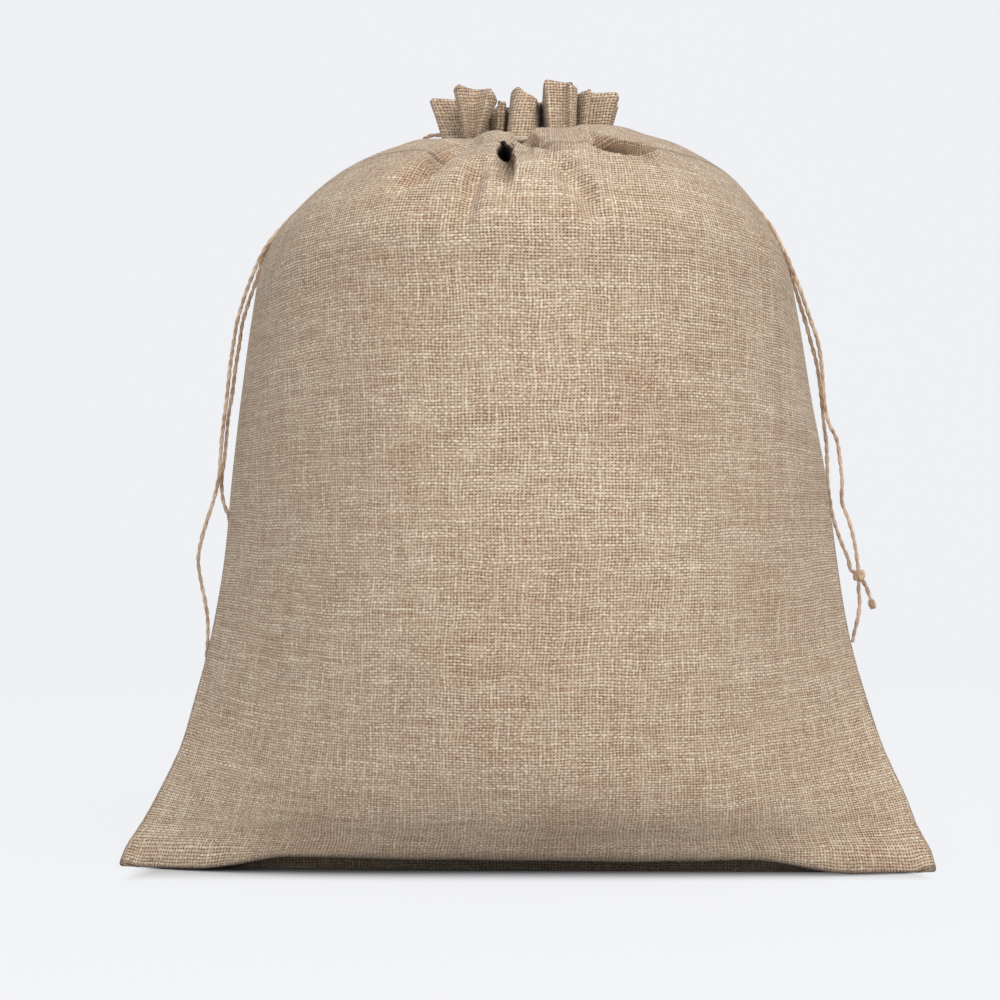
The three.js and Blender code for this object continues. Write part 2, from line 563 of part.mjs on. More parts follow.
function strand(name, route) {
  const SIDES = 8;
  const STEP = 2.5 * TWINE;
  const curve = new THREE.CatmullRomCurve3(route.map((point) => new THREE.Vector3(...point)));
  const section = new THREE.Shape();
  for (let side = 0; side < SIDES; side += 1) {
    const turn = (side * 2 * Math.PI) / SIDES;
    const x = (Math.cos(turn) * TWINE) / 2;
    const y = (Math.sin(turn) * TWINE) / 2;
    if (side === 0) section.moveTo(x, y);
    else section.lineTo(x, y);
  }
  section.closePath();
  const steps = Math.round(curve.getLength() / STEP);
  const geometry = new THREE.ExtrudeGeometry(section, { steps, extrudePath: curve });
  return named(name, geometry, twineMaterial());
}

// A knot drawn tight round the strand that runs through it: two turns with a waist between.
function knot(name, centre, along) {
  const bore = TWINE / 2 + GAP;
  const half = KNOT_LENGTH / 2;
  const profile = [
    [bore, -half * 0.8], [KNOT_RADIUS * 0.8, -half], [KNOT_RADIUS, -half * 0.5],
    [KNOT_RADIUS * 0.86, 0], [KNOT_RADIUS, half * 0.5], [KNOT_RADIUS * 0.8, half],
    [bore, half * 0.8], [bore, -half * 0.8],
  ];
  const ring = new THREE.LatheGeometry(profile.map(([r, y]) => new THREE.Vector2(r, y)), 12);
  const mesh = named(name, ring, twineMaterial());
  mesh.position.set(...centre);
  const upright = new THREE.Vector3(0, 1, 0);
  mesh.quaternion.setFromUnitVectors(upright, new THREE.Vector3(...along).normalize());
  return mesh;
}

// The short tail that leaves a knot, frayed into a round lump at its tip.
function knotTail(name, tail) {
  const from = new THREE.Vector3(...tail.from);
  const direction = new THREE.Vector3(...tail.tip).sub(from);
  const length = direction.length();
  direction.normalize();
  const profile = [
    [0, 0], [TWINE / 2, 0], [TWINE / 2, length - 4 * TAIL_BULB],
    [TAIL_BULB, length - 1.8 * TAIL_BULB], [TAIL_BULB * 0.8, length - 0.4 * TAIL_BULB], [0, length],
  ];
  const geometry = new THREE.LatheGeometry(profile.map(([r, y]) => new THREE.Vector2(r, y)), 8);
  const mesh = named(name, geometry, twineMaterial());
  mesh.position.copy(from);
  mesh.quaternion.setFromUnitVectors(new THREE.Vector3(0, 1, 0), direction);
  return mesh;
}

// ---- Assembly -------------------------------------------------------------------------------

function clothMaterial() {
  return new THREE.MeshStandardMaterial({ color: CLOTH_COLOUR, roughness: 0.95, metalness: 0 });
}

function twineMaterial() {
  return new THREE.MeshStandardMaterial({ color: TWINE_COLOUR, roughness: 0.9, metalness: 0 });
}

function named(name, geometry, material) {
  const mesh = new THREE.Mesh(geometry, material);
  mesh.name = name;
  return mesh;
}

const group = new THREE.Group();
group.add(
  panel('front_panel', -90, 90, -1),
  panel('back_panel', 90, 270, 1),
  strand('left_drawcord_outer', LEFT_OUTER),
  strand('left_drawcord_inner', LEFT_INNER),
  knot('left_knot', LEFT_KNOT_AT, LEFT_KNOT_ALONG),
  knotTail('left_knot_tail', LEFT_TAIL),
  strand('right_drawcord_outer', RIGHT_OUTER),
  strand('right_drawcord_inner', RIGHT_INNER),
  knot('right_knot', RIGHT_KNOT_AT, RIGHT_KNOT_ALONG),
  knotTail('right_knot_tail', RIGHT_TAIL),
);

export default group;
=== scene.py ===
"""Looks of a drawstring gift bag of coarse plain-weave cloth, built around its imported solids.

The cloth is laid out in its own coordinates: a share of the way round a panel, and a place on the
way up from the bottom seam. Rings give the shape in which the filled-out bag stands, folds gather
it into the neck, and pleats make the heading over the strings.
"""

import math

import bpy
import numpy as np
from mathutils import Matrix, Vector


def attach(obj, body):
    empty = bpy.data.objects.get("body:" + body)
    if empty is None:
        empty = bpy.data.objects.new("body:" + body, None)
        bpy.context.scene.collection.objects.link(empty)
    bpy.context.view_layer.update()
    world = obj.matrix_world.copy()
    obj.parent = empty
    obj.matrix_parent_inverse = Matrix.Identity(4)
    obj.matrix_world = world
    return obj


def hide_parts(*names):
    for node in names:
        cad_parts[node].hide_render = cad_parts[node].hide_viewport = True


bl_info = {
    "name": "Drawstring Gift Bag",
    "version": (1, 0, 0),
    "blender": (4, 5, 0),
    "location": "3D View > Sidebar > Gift Bag",
    "description": "Builds a standing cloth bag that is drawn shut with twine",
    "category": "Add Mesh",
}

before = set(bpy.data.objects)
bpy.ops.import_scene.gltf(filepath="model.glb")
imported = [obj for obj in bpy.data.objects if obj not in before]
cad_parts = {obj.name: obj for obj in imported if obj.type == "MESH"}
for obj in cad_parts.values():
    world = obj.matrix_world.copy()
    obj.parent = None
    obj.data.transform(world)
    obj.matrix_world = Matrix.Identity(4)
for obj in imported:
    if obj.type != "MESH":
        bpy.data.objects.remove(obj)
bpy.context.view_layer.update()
MM = 0.001
SEED = 7


# ---- Sections of the bag, as in its solids --------------------------------------------------

GIRTH = 604.0           # cloth round the bag, millimetres
EDGE_START = 0.45       # share of the half width from which a ring rises or falls to its sides
# Rings from the bottom seam to the top edge, in millimetres and degrees: the height of a ring's
# middle and of its sides, half its width, half its depth (0 where the girth settles it), how far
# it is pinched to a point at the sides, how far it is shifted to the right, brought forward and
# turned, and how steeply down the folds sink into it.
RING_COLUMNS = ("mid", "side", "half", "depth", "pinch", "shift", "forward", "yaw", "sink")
RINGS = (
    (0, 0.1, 141.4, 0.01, 1, -1.0, 8, -3.4, 0),
    (0, 0.2, 144.6, 1.2, 1, -1.0, 8, -3.4, 0),
    (0.3, 0.3, 147.0, 2.2, 1, -1.0, 8, -3.4, 0),
    (6.0, 0.8, 148.0, 3.2, 1, -1.0, 7.8, -3.4, 0),
    (6.4, 1.6, 148.2, 31, 1, -1.0, 7.5, -3.4, 0),
    (9.6, 7.6, 146.2, 39, 1, -0.6, 7.2, -3.3, 0),
    (15, 16, 141.1, 46, 1, -0.1, 6.6, -3.1, 0),
    (24, 29, 135.0, 0, 1, 1.0, 5.8, -2.9, 0),
    (38, 44, 128.0, 0, 1, 1.2, 4, -2.6, 0),
    (56, 62, 122.4, 0, 0.95, 0.9, 2, -2.1, 0),
    (80, 84, 116.5, 0, 0.85, 0.8, 1, -1.6, 0),
    (110, 112, 111.8, 0, 0.7, 1.1, 0, -0.9, 0),
    (145, 143, 108.3, 0, 0.5, 0.6, 0, -0.4, 0),
    (180, 173, 103.7, 0, 0.25, -0.4, 0, 0, 0),
    (207, 198, 99.8, 0, 0.08, -0.8, 0, 0, 6),
    (226, 216.5, 96.0, 96, 0, -1.2, 0, 0, 14),
    (238, 228.5, 91.0, 92, 0, -1.2, 0, 0, 28),
    (248, 240, 82.6, 85, 0, 0.3, 0, 0, 42),
    (255, 249, 73.6, 76, 0, 1.8, 0, 0, 55),
    (260, 256, 63.4, 66, 0, 2.6, 0, 0, 66),
    (263.2, 261, 52.6, 56, 0, 3.2, 0, 0, 74),
    (264.4, 264, 43.2, 46, 0, 3.4, 0, 0, 80),
    (263.6, 264.2, 36.2, 37, 0, 1.8, 0, 0, 76),
    (261.8, 262, 31.2, 29, 0, -0.4, 0, 0, 46),
    (263.8, 264.2, 29.0, 24, 0, -0.6, 0, 0, 12),
    (267.6, 268, 29.2, 24, 0, -1.2, 0, 0, 0),
    (271.4, 271.6, 30.8, 26, 0, -1.2, 0, 0, 0),
    (276, 275.4, 33, 28, 0, -1, 0, 0, 0),
    (281, 278.6, 34.8, 30, 0, -0.8, 0, 0, 0),
)
LAST_UNDER = 4          # ring at the lower edge of the front and the back
FIRST_UPPER = 15        # ring from which folds are measured
NECK_RING = 24          # ring at which every fold has its full depth
TOP_RING = 28

# Folds on the shoulder, round the bag. neck and foot are angles from the middle of the front,
# deep is millimetres at the neck, reach the number of rings below the neck at which the fold has
# run out, left and right its half widths in degrees at the neck, spread how much wider its foot is.
FOLD_COLUMNS = ("neck", "foot", "deep", "reach", "left", "right", "spread")
FOLDS = (
    (-117, -110, 12, 6, 8, 7, 1.4),
    (-90, -90, 3, 6, 7, 7, 1.4),
    (-54, -60, 12, 6, 7, 6, 1.4),
    (-40, -42, 4, 4, 5, 5, 1.0),
    (-24, -24, 12, 3.5, 7, 5, 0.6),
    (-11, -9, 14, 4.5, 6, 5, 0.6),
    (8, 7, 13, 4, 6, 7, 0.8),
    (27, 30, 4, 3.5, 6, 7, 1.4),
    (46, 52, 12, 4.5, 7, 6, 1.0),
    (68, 71, 4, 6, 6, 7, 1.2),
    (90, 88, 4, 7, 7, 7, 1.2),
    (122, 118, 13, 6, 7, 8, 1.4),
    (137, 140, 5, 6, 6, 6, 1.2),
    (152, 153, 13, 7, 6, 7, 1.2),
    (167, 165, 6, 6, 6, 5, 1.2),
    (184, 182, 13, 5.5, 7, 7, 1.2),
    (200, 201, 5, 7, 6, 6, 1.1),
    (216, 212, 13, 6, 6, 7, 1.2),
    (231, 236, 5, 6, 6, 6, 1.3),
)

# Pleats of the heading, round the bag from the one that wraps the left side seam. turn is where
# the valley before the pleat meets the neck, and valley where that lies. left and right are the
# two sides of the pleat at the neck, and left_top and right_top at the top edge, with the heights
# there of its left side, left corner, right corner and right side; sag is the valley's. The face
# stands bulge out from the line between its sides, at the neck and at the top, less dip at the
# share dip_at of the way over.
PLEAT_COLUMNS = (
    "turn", "valley", "sag", "left", "right", "left_top", "right_top", "heights", "bulge", "dip", "dip_at",
)
PLEATS = (
    (-117, (-16, 6.5), 277.4, (-27.5, 6.5), (-29.6, -8), (-31, 7.5), (-34, -9),
     (278.4, 278.2, 278.2, 278.6), (1.6, 1.8), (0.5, 0.6), 0.6),
    (-54, (-18.5, -8), 278, (-23, -18), (-16.8, -18), (-26.6, -19), (-10.9, -19.5),
     (280.6, 281.4, 279.9, 277.0), (3, 6), (3.2, 7), 0.5),
    (-24, (-13.6, -7.5), 273.6, (-12, -10.8), (-8.6, -9.8), (-11.2, -10.6), (-7.8, -9),
     (275.6, 277.4, 277.2, 275.8), (1.4, 1.4), (0.2, 0.2), 0.5),
    (-11, (-6, -5.5), 274.4, (-7.6, -14), (3.6, -17.5), (-5.9, -14), (4, -12.6),
     (280.6, 281.6, 277.6, 276.2), (3.5, 5), (-2.4, -1.4), 0.4),
    (8, (5, -8), 277.4, (7.2, -17.5), (17.4, -18.5), (5.6, -16.5), (17.9, -19),
     (282.4, 283.6, 282.2, 281.2), (5, 5.5), (3.2, 3.6), 0.72),
    (46, (14.5, -9.5), 279.2, (18.4, -14.5), (28.2, -9), (19.2, -15.5), (33, -10.5),
     (280.2, 280.5, 279.8, 278.2), (2.5, 4), (3.4, 5.2), 0.3),
    (90, (28.2, 0), 277, (29, 5), (23, 14), (32.4, 5.5), (26, 16),
     (277.8, 278.4, 279.2, 278.8), (2.2, 2.6), (0.8, 1), 0.5),
    (122, (15, 9), 277.6, (20.5, 15.5), (12.5, 20), (23, 17.5), (13.5, 22.5),
     (279, 280, 280.2, 279.2), (3.4, 4), (1.6, 2), 0.5),
    (152, (9, 9), 277.4, (9.8, 18), (1.5, 20.5), (10.6, 20), (1.2, 23),
     (278.8, 279.8, 279.2, 278.4), (3.4, 4), (1.2, 1.5), 0.4),
    (184, (0, 9.4), 277, (-2.6, 19), (-11, 19.5), (-2.8, 21.5), (-12.4, 22),
     (278, 279, 279.8, 279), (3.4, 4), (1.6, 2), 0.6),
    (216, (-10, 9.2), 277.4, (-14.5, 18), (-22.5, 14.5), (-15.8, 20), (-25.2, 16.6),
     (279, 280, 279.6, 278.6), (3, 3.6), (1.4, 2), 0.5),
)
NECK_HEIGHT = 264.0
CORNER = 0.14           # share of a pleat's width that each of its corners takes up
SIDE_TURN = 7.0         # cloth from a valley to the side of the pleat, in degrees of the neck
CORNER_TURN = 10.5      # the same, to the corner of the pleat
SIDE_MOST = 0.26        # largest share of a narrow pleat's cloth up to its side
CORNER_MOST = 0.34      # the same, up to its corner
DIP_RANGE = (0.2, 0.8)  # where between the corners the cloth of a dip can lie
FLARE = 1.2             # power of the rise with which a pleat spreads
VALLEY_SPREAD = 0.06    # how much further out a valley lies at the top edge

# Creases of the front, as paths over x and z. deep is how far the cloth goes in at each of the
# path's points, left and right how wide the crease is on each side of the path as it runs, wall
# the share of that width over which its side slopes, and back the share of the depth that goes
# straight back, the rest going in from the face of the cloth.
CREASE_COLUMNS = ("path", "deep", "left", "right", "wall", "back")
CREASES = (
    # the folds that stand proud on either side of the hole
    (((-33, 236), (-24, 246), (-17, 251.5)), (0, -3.5, -2.5), 6, 6, 1.0, 0.6),
    (((26, 236), (17, 247), (8, 254.5)), (0, -3, -2), 8, 8, 1.0, 0.6),
    # the hole under the gathers with its narrow top, and the hollow that runs down from it
    (((-9.0, 252.5), (-7.8, 253.1)), (15, 15), 2.1, 2.1, 0.5, 1),
    (((-8.2, 253.8), (-8.9, 256.0)), (14, 8), 1.0, 1.0, 1.0, 1),
    (((-5.6, 250.2), (-5.9, 245.0), (-7.2, 237.0)), (14, 11, 0), 0.9, 6.4, 0.85, 0.9),
    # the valley behind the fold on the left
    (((-47, 236), (-39, 241.4), (-31.4, 246), (-28.7, 249), (-24.9, 252.6), (-20.2, 255.6), (-16, 256)),
     (0, 8, 15, 18, 15, 9, 4), 9.0, 0.9, 1.0, 0.6),
    # the valley between the fold right of the hole and the one behind it
    (((-3.4, 258.6), (-1.6, 257.0), (1.4, 255.6), (5.0, 254.0), (11, 250.6)),
     (4, 8, 9, 6, 0), 4.2, 1.3, 1.0, 0.6),
    # the long pocket on the right
    (((17.5, 259.2), (20.9, 256.1), (24.3, 254.4), (27.7, 253.4),
      (32.9, 252.7), (38, 252.3), (41.4, 251.0), (45.5, 248.6)),
     (2, 7, 11, 14, 13, 9, 6, 0), 5.4, 0.8, 0.5, 0.6),
    # soft folds that run out over the front
    (((-16.4, 250.0), (-17.8, 244.0), (-20.0, 236.0), (-23.0, 221.0)), (0, 5, 4.4, 0), 5, 5, 1.0, 0.5),
    (((8.0, 251.0), (12.5, 245.0), (20.0, 235.0), (25.0, 219.0)), (0, 5, 4.4, 0), 6, 6, 1.0, 0.5),
)

# How the crown of the shoulder rises and sinks in front of the heading, millimetres over x.
CROWN = (
    (-60, 0), (-40, -0.6), (-30, -2.2), (-20, -2.4), (-14, -1.0), (-7, -0.8), (-4, -3.2), (-1, -3.4),
    (3, -0.2), (14, 0), (20, 1.2), (30, 1.5), (42, 0.4), (60, 0),
)
CROWN_START = 246.0     # height at which the crown sets in
CROWN_RISE = 12.0       # height over which it does


# ---- Twine: the points of each free end, millimetres, as in its solids ----------------------

LEFT_OUTER = (
    (-25, 0, 267.2), (-31, 0.1, 267.2), (-34.8, 1.4, 267.2), (-37.2, 4.6, 266.6), (-39.3, 8.6, 264.8),
    (-41.6, 12, 262.4), (-45.5, 15, 260.5), (-53, 17.2, 258.4), (-62, 17.2, 255.2), (-70.5, 15, 251.2),
    (-76, 12, 247.2), (-80.4, 9, 243.6), (-85.6, 6.2, 238.6), (-91.5, 4, 232), (-96.5, 3, 225),
    (-100.5, 2.5, 216), (-103.4, 2, 208), (-105.9, 2, 199.5), (-107.3, 2, 191.5), (-108.6, 2, 182.5),
    (-109.6, 2, 173), (-110.6, 2.2, 165), (-111.6, 2.4, 157), (-112.2, 2.6, 149), (-112.8, 2.8, 142),
    (-114.4, 3, 135), (-117, 3.2, 127), (-119.2, 3.5, 119.5), (-120.4, 3.7, 112), (-119.6, 4, 105),
    (-118.2, 4.8, 98), (-117.2, 5.6, 91), (-117.2, 6.8, 83), (-117.8, 8.2, 76), (-117.4, 9.8, 68),
    (-116.6, 14.4, 61), (-116.2, 16.4, 55), (-116.8, 17.4, 48), (-118.4, 17.8, 41),
)
LEFT_INNER = (
    (-25, 0, 264.8), (-31, 0.1, 264.8), (-34, 2.6, 265.45), (-35.6, 6.2, 265.35), (-37.8, 10.2, 263.6),
    (-39.6, 13.8, 261.2), (-43.6, 17.2, 260.2), (-52, 19.8, 258.5), (-61, 19.8, 255.4), (-69.6, 18, 251.9),
    (-75.4, 15.1, 248), (-79.8, 12, 244.2), (-85.2, 9.2, 238.8), (-91.6, 6.4, 231.3),
    (-96.3, 5.2, 223.8), (-99, 4.8, 215), (-101.8, 4.6, 207), (-104.2, 4.5, 199),
    (-105.4, 4.5, 191), (-106.8, 4.5, 182.5), (-108, 4.5, 173), (-109.4, 4.8, 165), (-110.2, 5.2, 157),
    (-111, 5.6, 149), (-112, 6, 142), (-111.6, 6.6, 134), (-109.4, 8.2, 127), (-108.2, 10.2, 118),
    (-108, 12.4, 108), (-108.6, 14.2, 98), (-109.8, 15, 88), (-111.4, 16, 78), (-111.8, 17.2, 68),
    (-112.8, 17.2, 60.2),
)
RIGHT_OUTER = (
    (24, 0, 267.2), (29, 0.1, 267.2), (34, 1.6, 267.5), (40, 4.6, 267.4), (48, 8, 265.4),
    (57, 9.5, 262), (66.3, 9.5, 257.3), (76.2, 8, 249.8), (83.5, 6, 242), (89.5, 4.5, 234), (94, 3.5, 225.5),
    (97.4, 3, 217.5), (100.6, 2.5, 209), (103.6, 2, 200), (106, 2, 193), (107.4, 2, 185.5),
    (108.2, 2, 177.5), (108.8, 2, 169.5), (110.2, 2, 162.5), (113.2, 2, 156), (114.4, 2, 148.5),
    (115.2, 2, 141), (115.1, 2, 133.5), (117.6, 2, 126.6), (119.5, 2, 119.5), (120.7, 2, 112),
    (121.3, 2, 106.5), (121.2, 2, 101.5), (121.6, 2, 96.5), (121, 2.2, 91), (119.8, 2.4, 86),
    (119, 2.6, 82),
)
RIGHT_INNER = (
    (24, 0, 264.8), (29, 0.1, 264.8), (34, 2.8, 265.3), (40, 7, 266), (48, 10.8, 264.6),
    (57, 12.3, 261.3), (66.4, 12.3, 256.8), (76.5, 10.5, 249.3), (83.9, 8.4, 241.3),
    (89.8, 6.8, 233.3), (94, 5.8, 224.7), (96.8, 5.4, 216.6), (99.4, 5, 208), (102, 4.6, 199.5),
    (104, 4.5, 192), (106, 4.5, 184.5), (107.2, 4.5, 177), (108, 4.5, 169.5), (108.8, 4.8, 162),
    (109.8, 5.4, 154.5), (110.2, 6.4, 147), (110.6, 7.2, 139.5), (111.6, 7.6, 132), (113.2, 7.4, 125),
    (115.6, 6.6, 118), (117.9, 5.4, 112), (118.6, 4.2, 108.4),
)
LEFT_KNOT = {
    "at": (-116.3, 15.6, 57.5), "along": (-0.06, -0.3, 1), "tail": ((-114, 16.4, 54.8), (-112, 19.8, 46.4)),
}
RIGHT_KNOT = {
    "at": (121.3, 2, 106.5), "along": (-0.04, 0, 1), "tail": ((123.5, 2, 103.2), (126.6, 2.2, 94.2)),
}


# ---- Settings -------------------------------------------------------------------------------

def size_setting(name, description, millimetres):
    default = millimetres * MM
    return bpy.props.FloatProperty(name=name, description=description, default=default, unit="LENGTH")


def colour_setting(name, description, default):
    return bpy.props.FloatVectorProperty(name=name, description=description, default=default, subtype="COLOR")


def count_setting(name, description, default, least):
    return bpy.props.IntProperty(name=name, description=description, default=default, min=least)


class GiftBagCloth(bpy.types.PropertyGroup):
    """The cloth of the two panels."""
    columns: count_setting("Columns", "Points across one panel, an odd number", 321, 41)
    rows: count_setting("Rows", "Points up one panel, an odd number", 223, 41)
    thickness: size_setting("Thickness", "Thickness of the cloth", 1.0)
    hem: size_setting("Hem", "Thickness of the doubled heading", 1.7)
    warp: size_setting("Warp pitch", "Distance between upright yarns", 1.22)
    weft: size_setting("Weft pitch", "Distance between level yarns", 1.04)
    relief: size_setting("Relief", "Height of the weave", 0.24)
    light: colour_setting("Light yarn", "Colour of the lightest slubs", (0.80, 0.695, 0.54))
    middle: colour_setting("Middle yarn", "Colour of most yarn", (0.575, 0.435, 0.31))
    dark: colour_setting("Brown yarn", "Colour of the pinkish brown yarn", (0.43, 0.26, 0.16))
    gaps: colour_setting("Gaps", "Colour between the yarns", (0.205, 0.088, 0.04))


class GiftBagTwine(bpy.types.PropertyGroup):
    """The twine of the drawstrings."""
    diameter: size_setting("Diameter", "Thickness of the twine", 1.8)
    lay: size_setting("Lay", "Length of one turn of its two plies", 8.0)
    hairs: count_setting("Hairs", "Loose fibres for each centimetre", 26, 0)
    colour: colour_setting("Colour", "Colour of the jute", (0.60, 0.42, 0.29))


class GiftBagStage(bpy.types.PropertyGroup):
    """Camera, floor and light."""
    distance: size_setting("Distance", "Camera in front of the bag", 1100.0)
    height: size_setting("Height", "Camera above the floor", 134.0)
    across: size_setting("Across", "Camera to the side of the bag's middle", -9.9)
    lens: bpy.props.FloatProperty(name="Lens", description="Focal length in millimetres", default=108.5)


# ---- Curves and tables ----------------------------------------------------------------------

def ease(share):
    share = np.clip(share, 0.0, 1.0)
    return share * share * (3.0 - 2.0 * share)


def blend(start, end, share):
    return start + (end - start) * share


def way_along(points):
    """How far each point of a path lies from the first, along the path."""
    return np.concatenate([[0.0], np.cumsum(np.linalg.norm(np.diff(points, axis=0), axis=1))])


def slopes_of(spots, values):
    """Slopes that keep a cubic through the values from overshooting them."""
    steps = np.diff(spots)
    chords = np.diff(values) / steps
    slopes = np.zeros(len(values))
    for k in range(1, len(values) - 1):
        before, after = chords[k - 1], chords[k]
        if before * after > 0:
            w1, w2 = 2 * steps[k] + steps[k - 1], steps[k] + 2 * steps[k - 1]
            slopes[k] = (w1 + w2) / (w1 / before + w2 / after)
    slopes[0], slopes[-1] = chords[0], chords[-1]
    return slopes


def through(spots, values, at):
    """A smooth curve through values at spots, read at the places at."""
    spots, values, at = (np.asarray(x, float) for x in (spots, values, at))
    slopes = slopes_of(spots, values)
    k = np.clip(np.searchsorted(spots, at, side="right") - 1, 0, len(spots) - 2)
    step = spots[k + 1] - spots[k]
    t = np.clip((at - spots[k]) / step, 0.0, 1.0)
    low = (1 + 2 * t) * (1 - t) ** 2 * values[k] + t * (1 - t) ** 2 * step * slopes[k]
    high = t * t * (3 - 2 * t) * values[k + 1] + t * t * (t - 1) * step * slopes[k + 1]
    return low + high


def table(columns, rows):
    return {name: np.array([row[k] for row in rows], float) for k, name in enumerate(columns)}


def noise(x, y, seed, octaves=3):
    """Smooth noise from -1 to 1, one unit between its crossings."""
    x, y = np.broadcast_arrays(np.asarray(x, float), np.asarray(y, float))
    total, size = np.zeros(x.shape), 1.0
    generator = np.random.default_rng(seed)
    for _ in range(octaves):
        grid = generator.uniform(-1, 1, (64, 64))
        fx, fy = np.floor(x), np.floor(y)
        ix, iy = fx.astype(int) % 64, fy.astype(int) % 64
        tx, ty = ease(x - fx), ease(y - fy)
        low = blend(grid[ix, iy], grid[(ix + 1) % 64, iy], tx)
        high = blend(grid[ix, (iy + 1) % 64], grid[(ix + 1) % 64, (iy + 1) % 64], tx)
        total += size * blend(low, high, ty)
        x, y, size = x * 2.03 + 11.3, y * 2.03 + 5.7, size * 0.5
    return total / (2.0 - 0.5 ** (octaves - 1))


# ---- The shape in which the cloth stands ----------------------------------------------------

def plain(ring, depth, angle):
    """Points of a ring before any fold, at angles from the middle of the front."""
    across, along = np.sin(np.radians(angle)), np.cos(np.radians(angle))
    y = -depth * np.sign(along) * np.abs(along) ** (1.0 + ring["pinch"])
    edge = (np.maximum(0.0, np.abs(across) - EDGE_START) / (1.0 - EDGE_START)) ** 2
    return np.stack([ring["half"] * across, y, blend(ring["mid"], ring["side"], edge)], -1)


def girth_depth(ring):
    """The depth at which the cloth round a ring is neither slack nor stretched."""
    low, high = 0.0, ring["half"] * 1.5
    angle = np.linspace(0.0, 360.0, 361)
    for _ in range(40):
        middle = (low + high) / 2
        points = plain(ring, middle, angle)
        length = np.linalg.norm(np.diff(points, axis=0), axis=1).sum()
        low, high = (middle, high) if length < GIRTH else (low, middle)
    return low


def rings_at(level):
    """The ring at each fractional level, from 0 at the bottom seam to TOP_RING at the top edge."""
    columns = table(RING_COLUMNS, RINGS)
    for k, row in enumerate(RINGS):
        if columns["depth"][k] == 0:
            columns["depth"][k] = girth_depth(dict(zip(RING_COLUMNS, row)))
    spots = np.arange(len(RINGS))
    return {name: through(spots, values, level) for name, values in columns.items()}


def even_angles(ring, first, share):
    """Angles that lie at even shares of the cloth of one panel, which starts at the angle first."""
    fine = np.linspace(first, first + 180.0, 721)
    length = way_along(plain(ring, ring["depth"], fine))
    return np.interp(share * length[-1], length, fine)


def turn(start, end):
    return (end - start + 540.0) % 360.0 - 180.0


def gathered(angle, level):
    """Where the cloth at an angle of the belly goes at a level of the neck: folds turn aside."""
    folds = table(FOLD_COLUMNS, FOLDS)
    share = ease((level - FIRST_UPPER - 1.0) / (NECK_RING - FIRST_UPPER - 1.0))
    foot = np.concatenate([folds["foot"] - 360, folds["foot"], folds["foot"] + 360])
    neck = np.concatenate([folds["neck"] - 360, folds["neck"], folds["neck"] + 360])
    return blend(angle, np.interp(angle, foot, neck), share)


def sink_of(angle, level):
    """How far the cloth sinks into the folds, at angles of the belly."""
    total = np.zeros(np.shape(angle))
    for fold in FOLDS:
        row = dict(zip(FOLD_COLUMNS, fold))
        down = np.clip((NECK_RING - level) / row["reach"], 0.0, 1.0)
        off = turn(row["foot"], angle)
        wide = np.where(off < 0, row["left"], row["right"]) * (1.0 + row["spread"] * down)
        total += row["deep"] * (1.0 - down) ** 1.15 * ease(1.0 - np.abs(off) / wide)
    return total


EAR_START = 0.55        # share of the half width from which the ears come down to the floor
EAR_WIDTH = 0.25        # share over which they do
EAR_TIP = 0.06          # share at the very tip over which they take the ring's own height again
EAR_LAID = 0.8          # share of the height under an ear that is taken away
EAR_LEVELS = 1.3        # levels above the lower edge over which the cloth leaves the floor


def laid_down(share, level):
    """How near the floor the underside comes just inside the tips of the ears, which lie on it."""
    inside = ease((share - EAR_START) / EAR_WIDTH) * ease((1.0 - share) / EAR_TIP)
    return 1.0 - EAR_LAID * inside * ease((LAST_UNDER + EAR_LEVELS - level) / EAR_LEVELS)


def body_points(ring, level, angle):
    """Outer face of the cloth from the bottom seam to the neck."""
    here = gathered(angle, level) if level > FIRST_UPPER + 1.0 else angle
    points = plain(ring, ring["depth"], here)
    points[..., 2] *= laid_down(np.abs(points[..., 0]) / ring["half"], level)
    sink = sink_of(angle, level)
    lean = math.radians(ring["sink"])
    reach = np.maximum(np.hypot(points[..., 0], points[..., 1]), 1e-6)
    points[..., 0] -= points[..., 0] / reach * sink * math.cos(lean)
    points[..., 1] -= points[..., 1] / reach * sink * math.cos(lean)
    points[..., 2] -= sink * math.sin(lean)
    return points


def pleat_knots(pleat, after, rise):
    """Turns and points of one pleat at a rise from 0, the neck, to 1, the top edge."""
    flare = rise ** FLARE
    valley = np.array(pleat["valley"]) * (1.0 + VALLEY_SPREAD * rise)
    beyond = np.array(after["valley"]) * (1.0 + VALLEY_SPREAD * rise)
    left = blend(np.array(pleat["left"]), np.array(pleat["left_top"]), flare)
    right = blend(np.array(pleat["right"]), np.array(pleat["right_top"]), flare)
    face = right - left
    outwards = np.array([face[1], -face[0]]) / np.linalg.norm(face)
    bulge = blend(*pleat["bulge"], rise)
    dip = blend(*pleat["dip"], rise)
    side_l, corner_l, corner_r, side_r = pleat["heights"]
    dip_at = blend(CORNER, 1.0 - CORNER, pleat["dip_at"])
    span = (after["turn"] - pleat["turn"]) % 360.0
    side, corner = min(SIDE_TURN / span, SIDE_MOST), min(CORNER_TURN / span, CORNER_MOST)
    middle = blend(corner, 1.0 - corner, blend(*DIP_RANGE, pleat["dip_at"]))
    shape = (
        (0.0, valley, pleat["sag"]),
        (side / 2, blend(valley, left, 0.5), (pleat["sag"] + side_l) / 2),
        (side, left, side_l),
        (corner, left + face * CORNER + outwards * bulge, corner_l),
        (middle, left + face * dip_at + outwards * (bulge - dip), (corner_l + corner_r) / 2),
        (1.0 - corner, right - face * CORNER + outwards * bulge, corner_r),
        (1.0 - side, right, side_r),
        (1.0 - side / 2, blend(right, beyond, 0.5), (side_r + after["sag"]) / 2),
    )
    turns = [pleat["turn"] + span * share for share, _, _ in shape]
    return turns, [(*place, blend(NECK_HEIGHT, top, rise)) for _, place, top in shape]


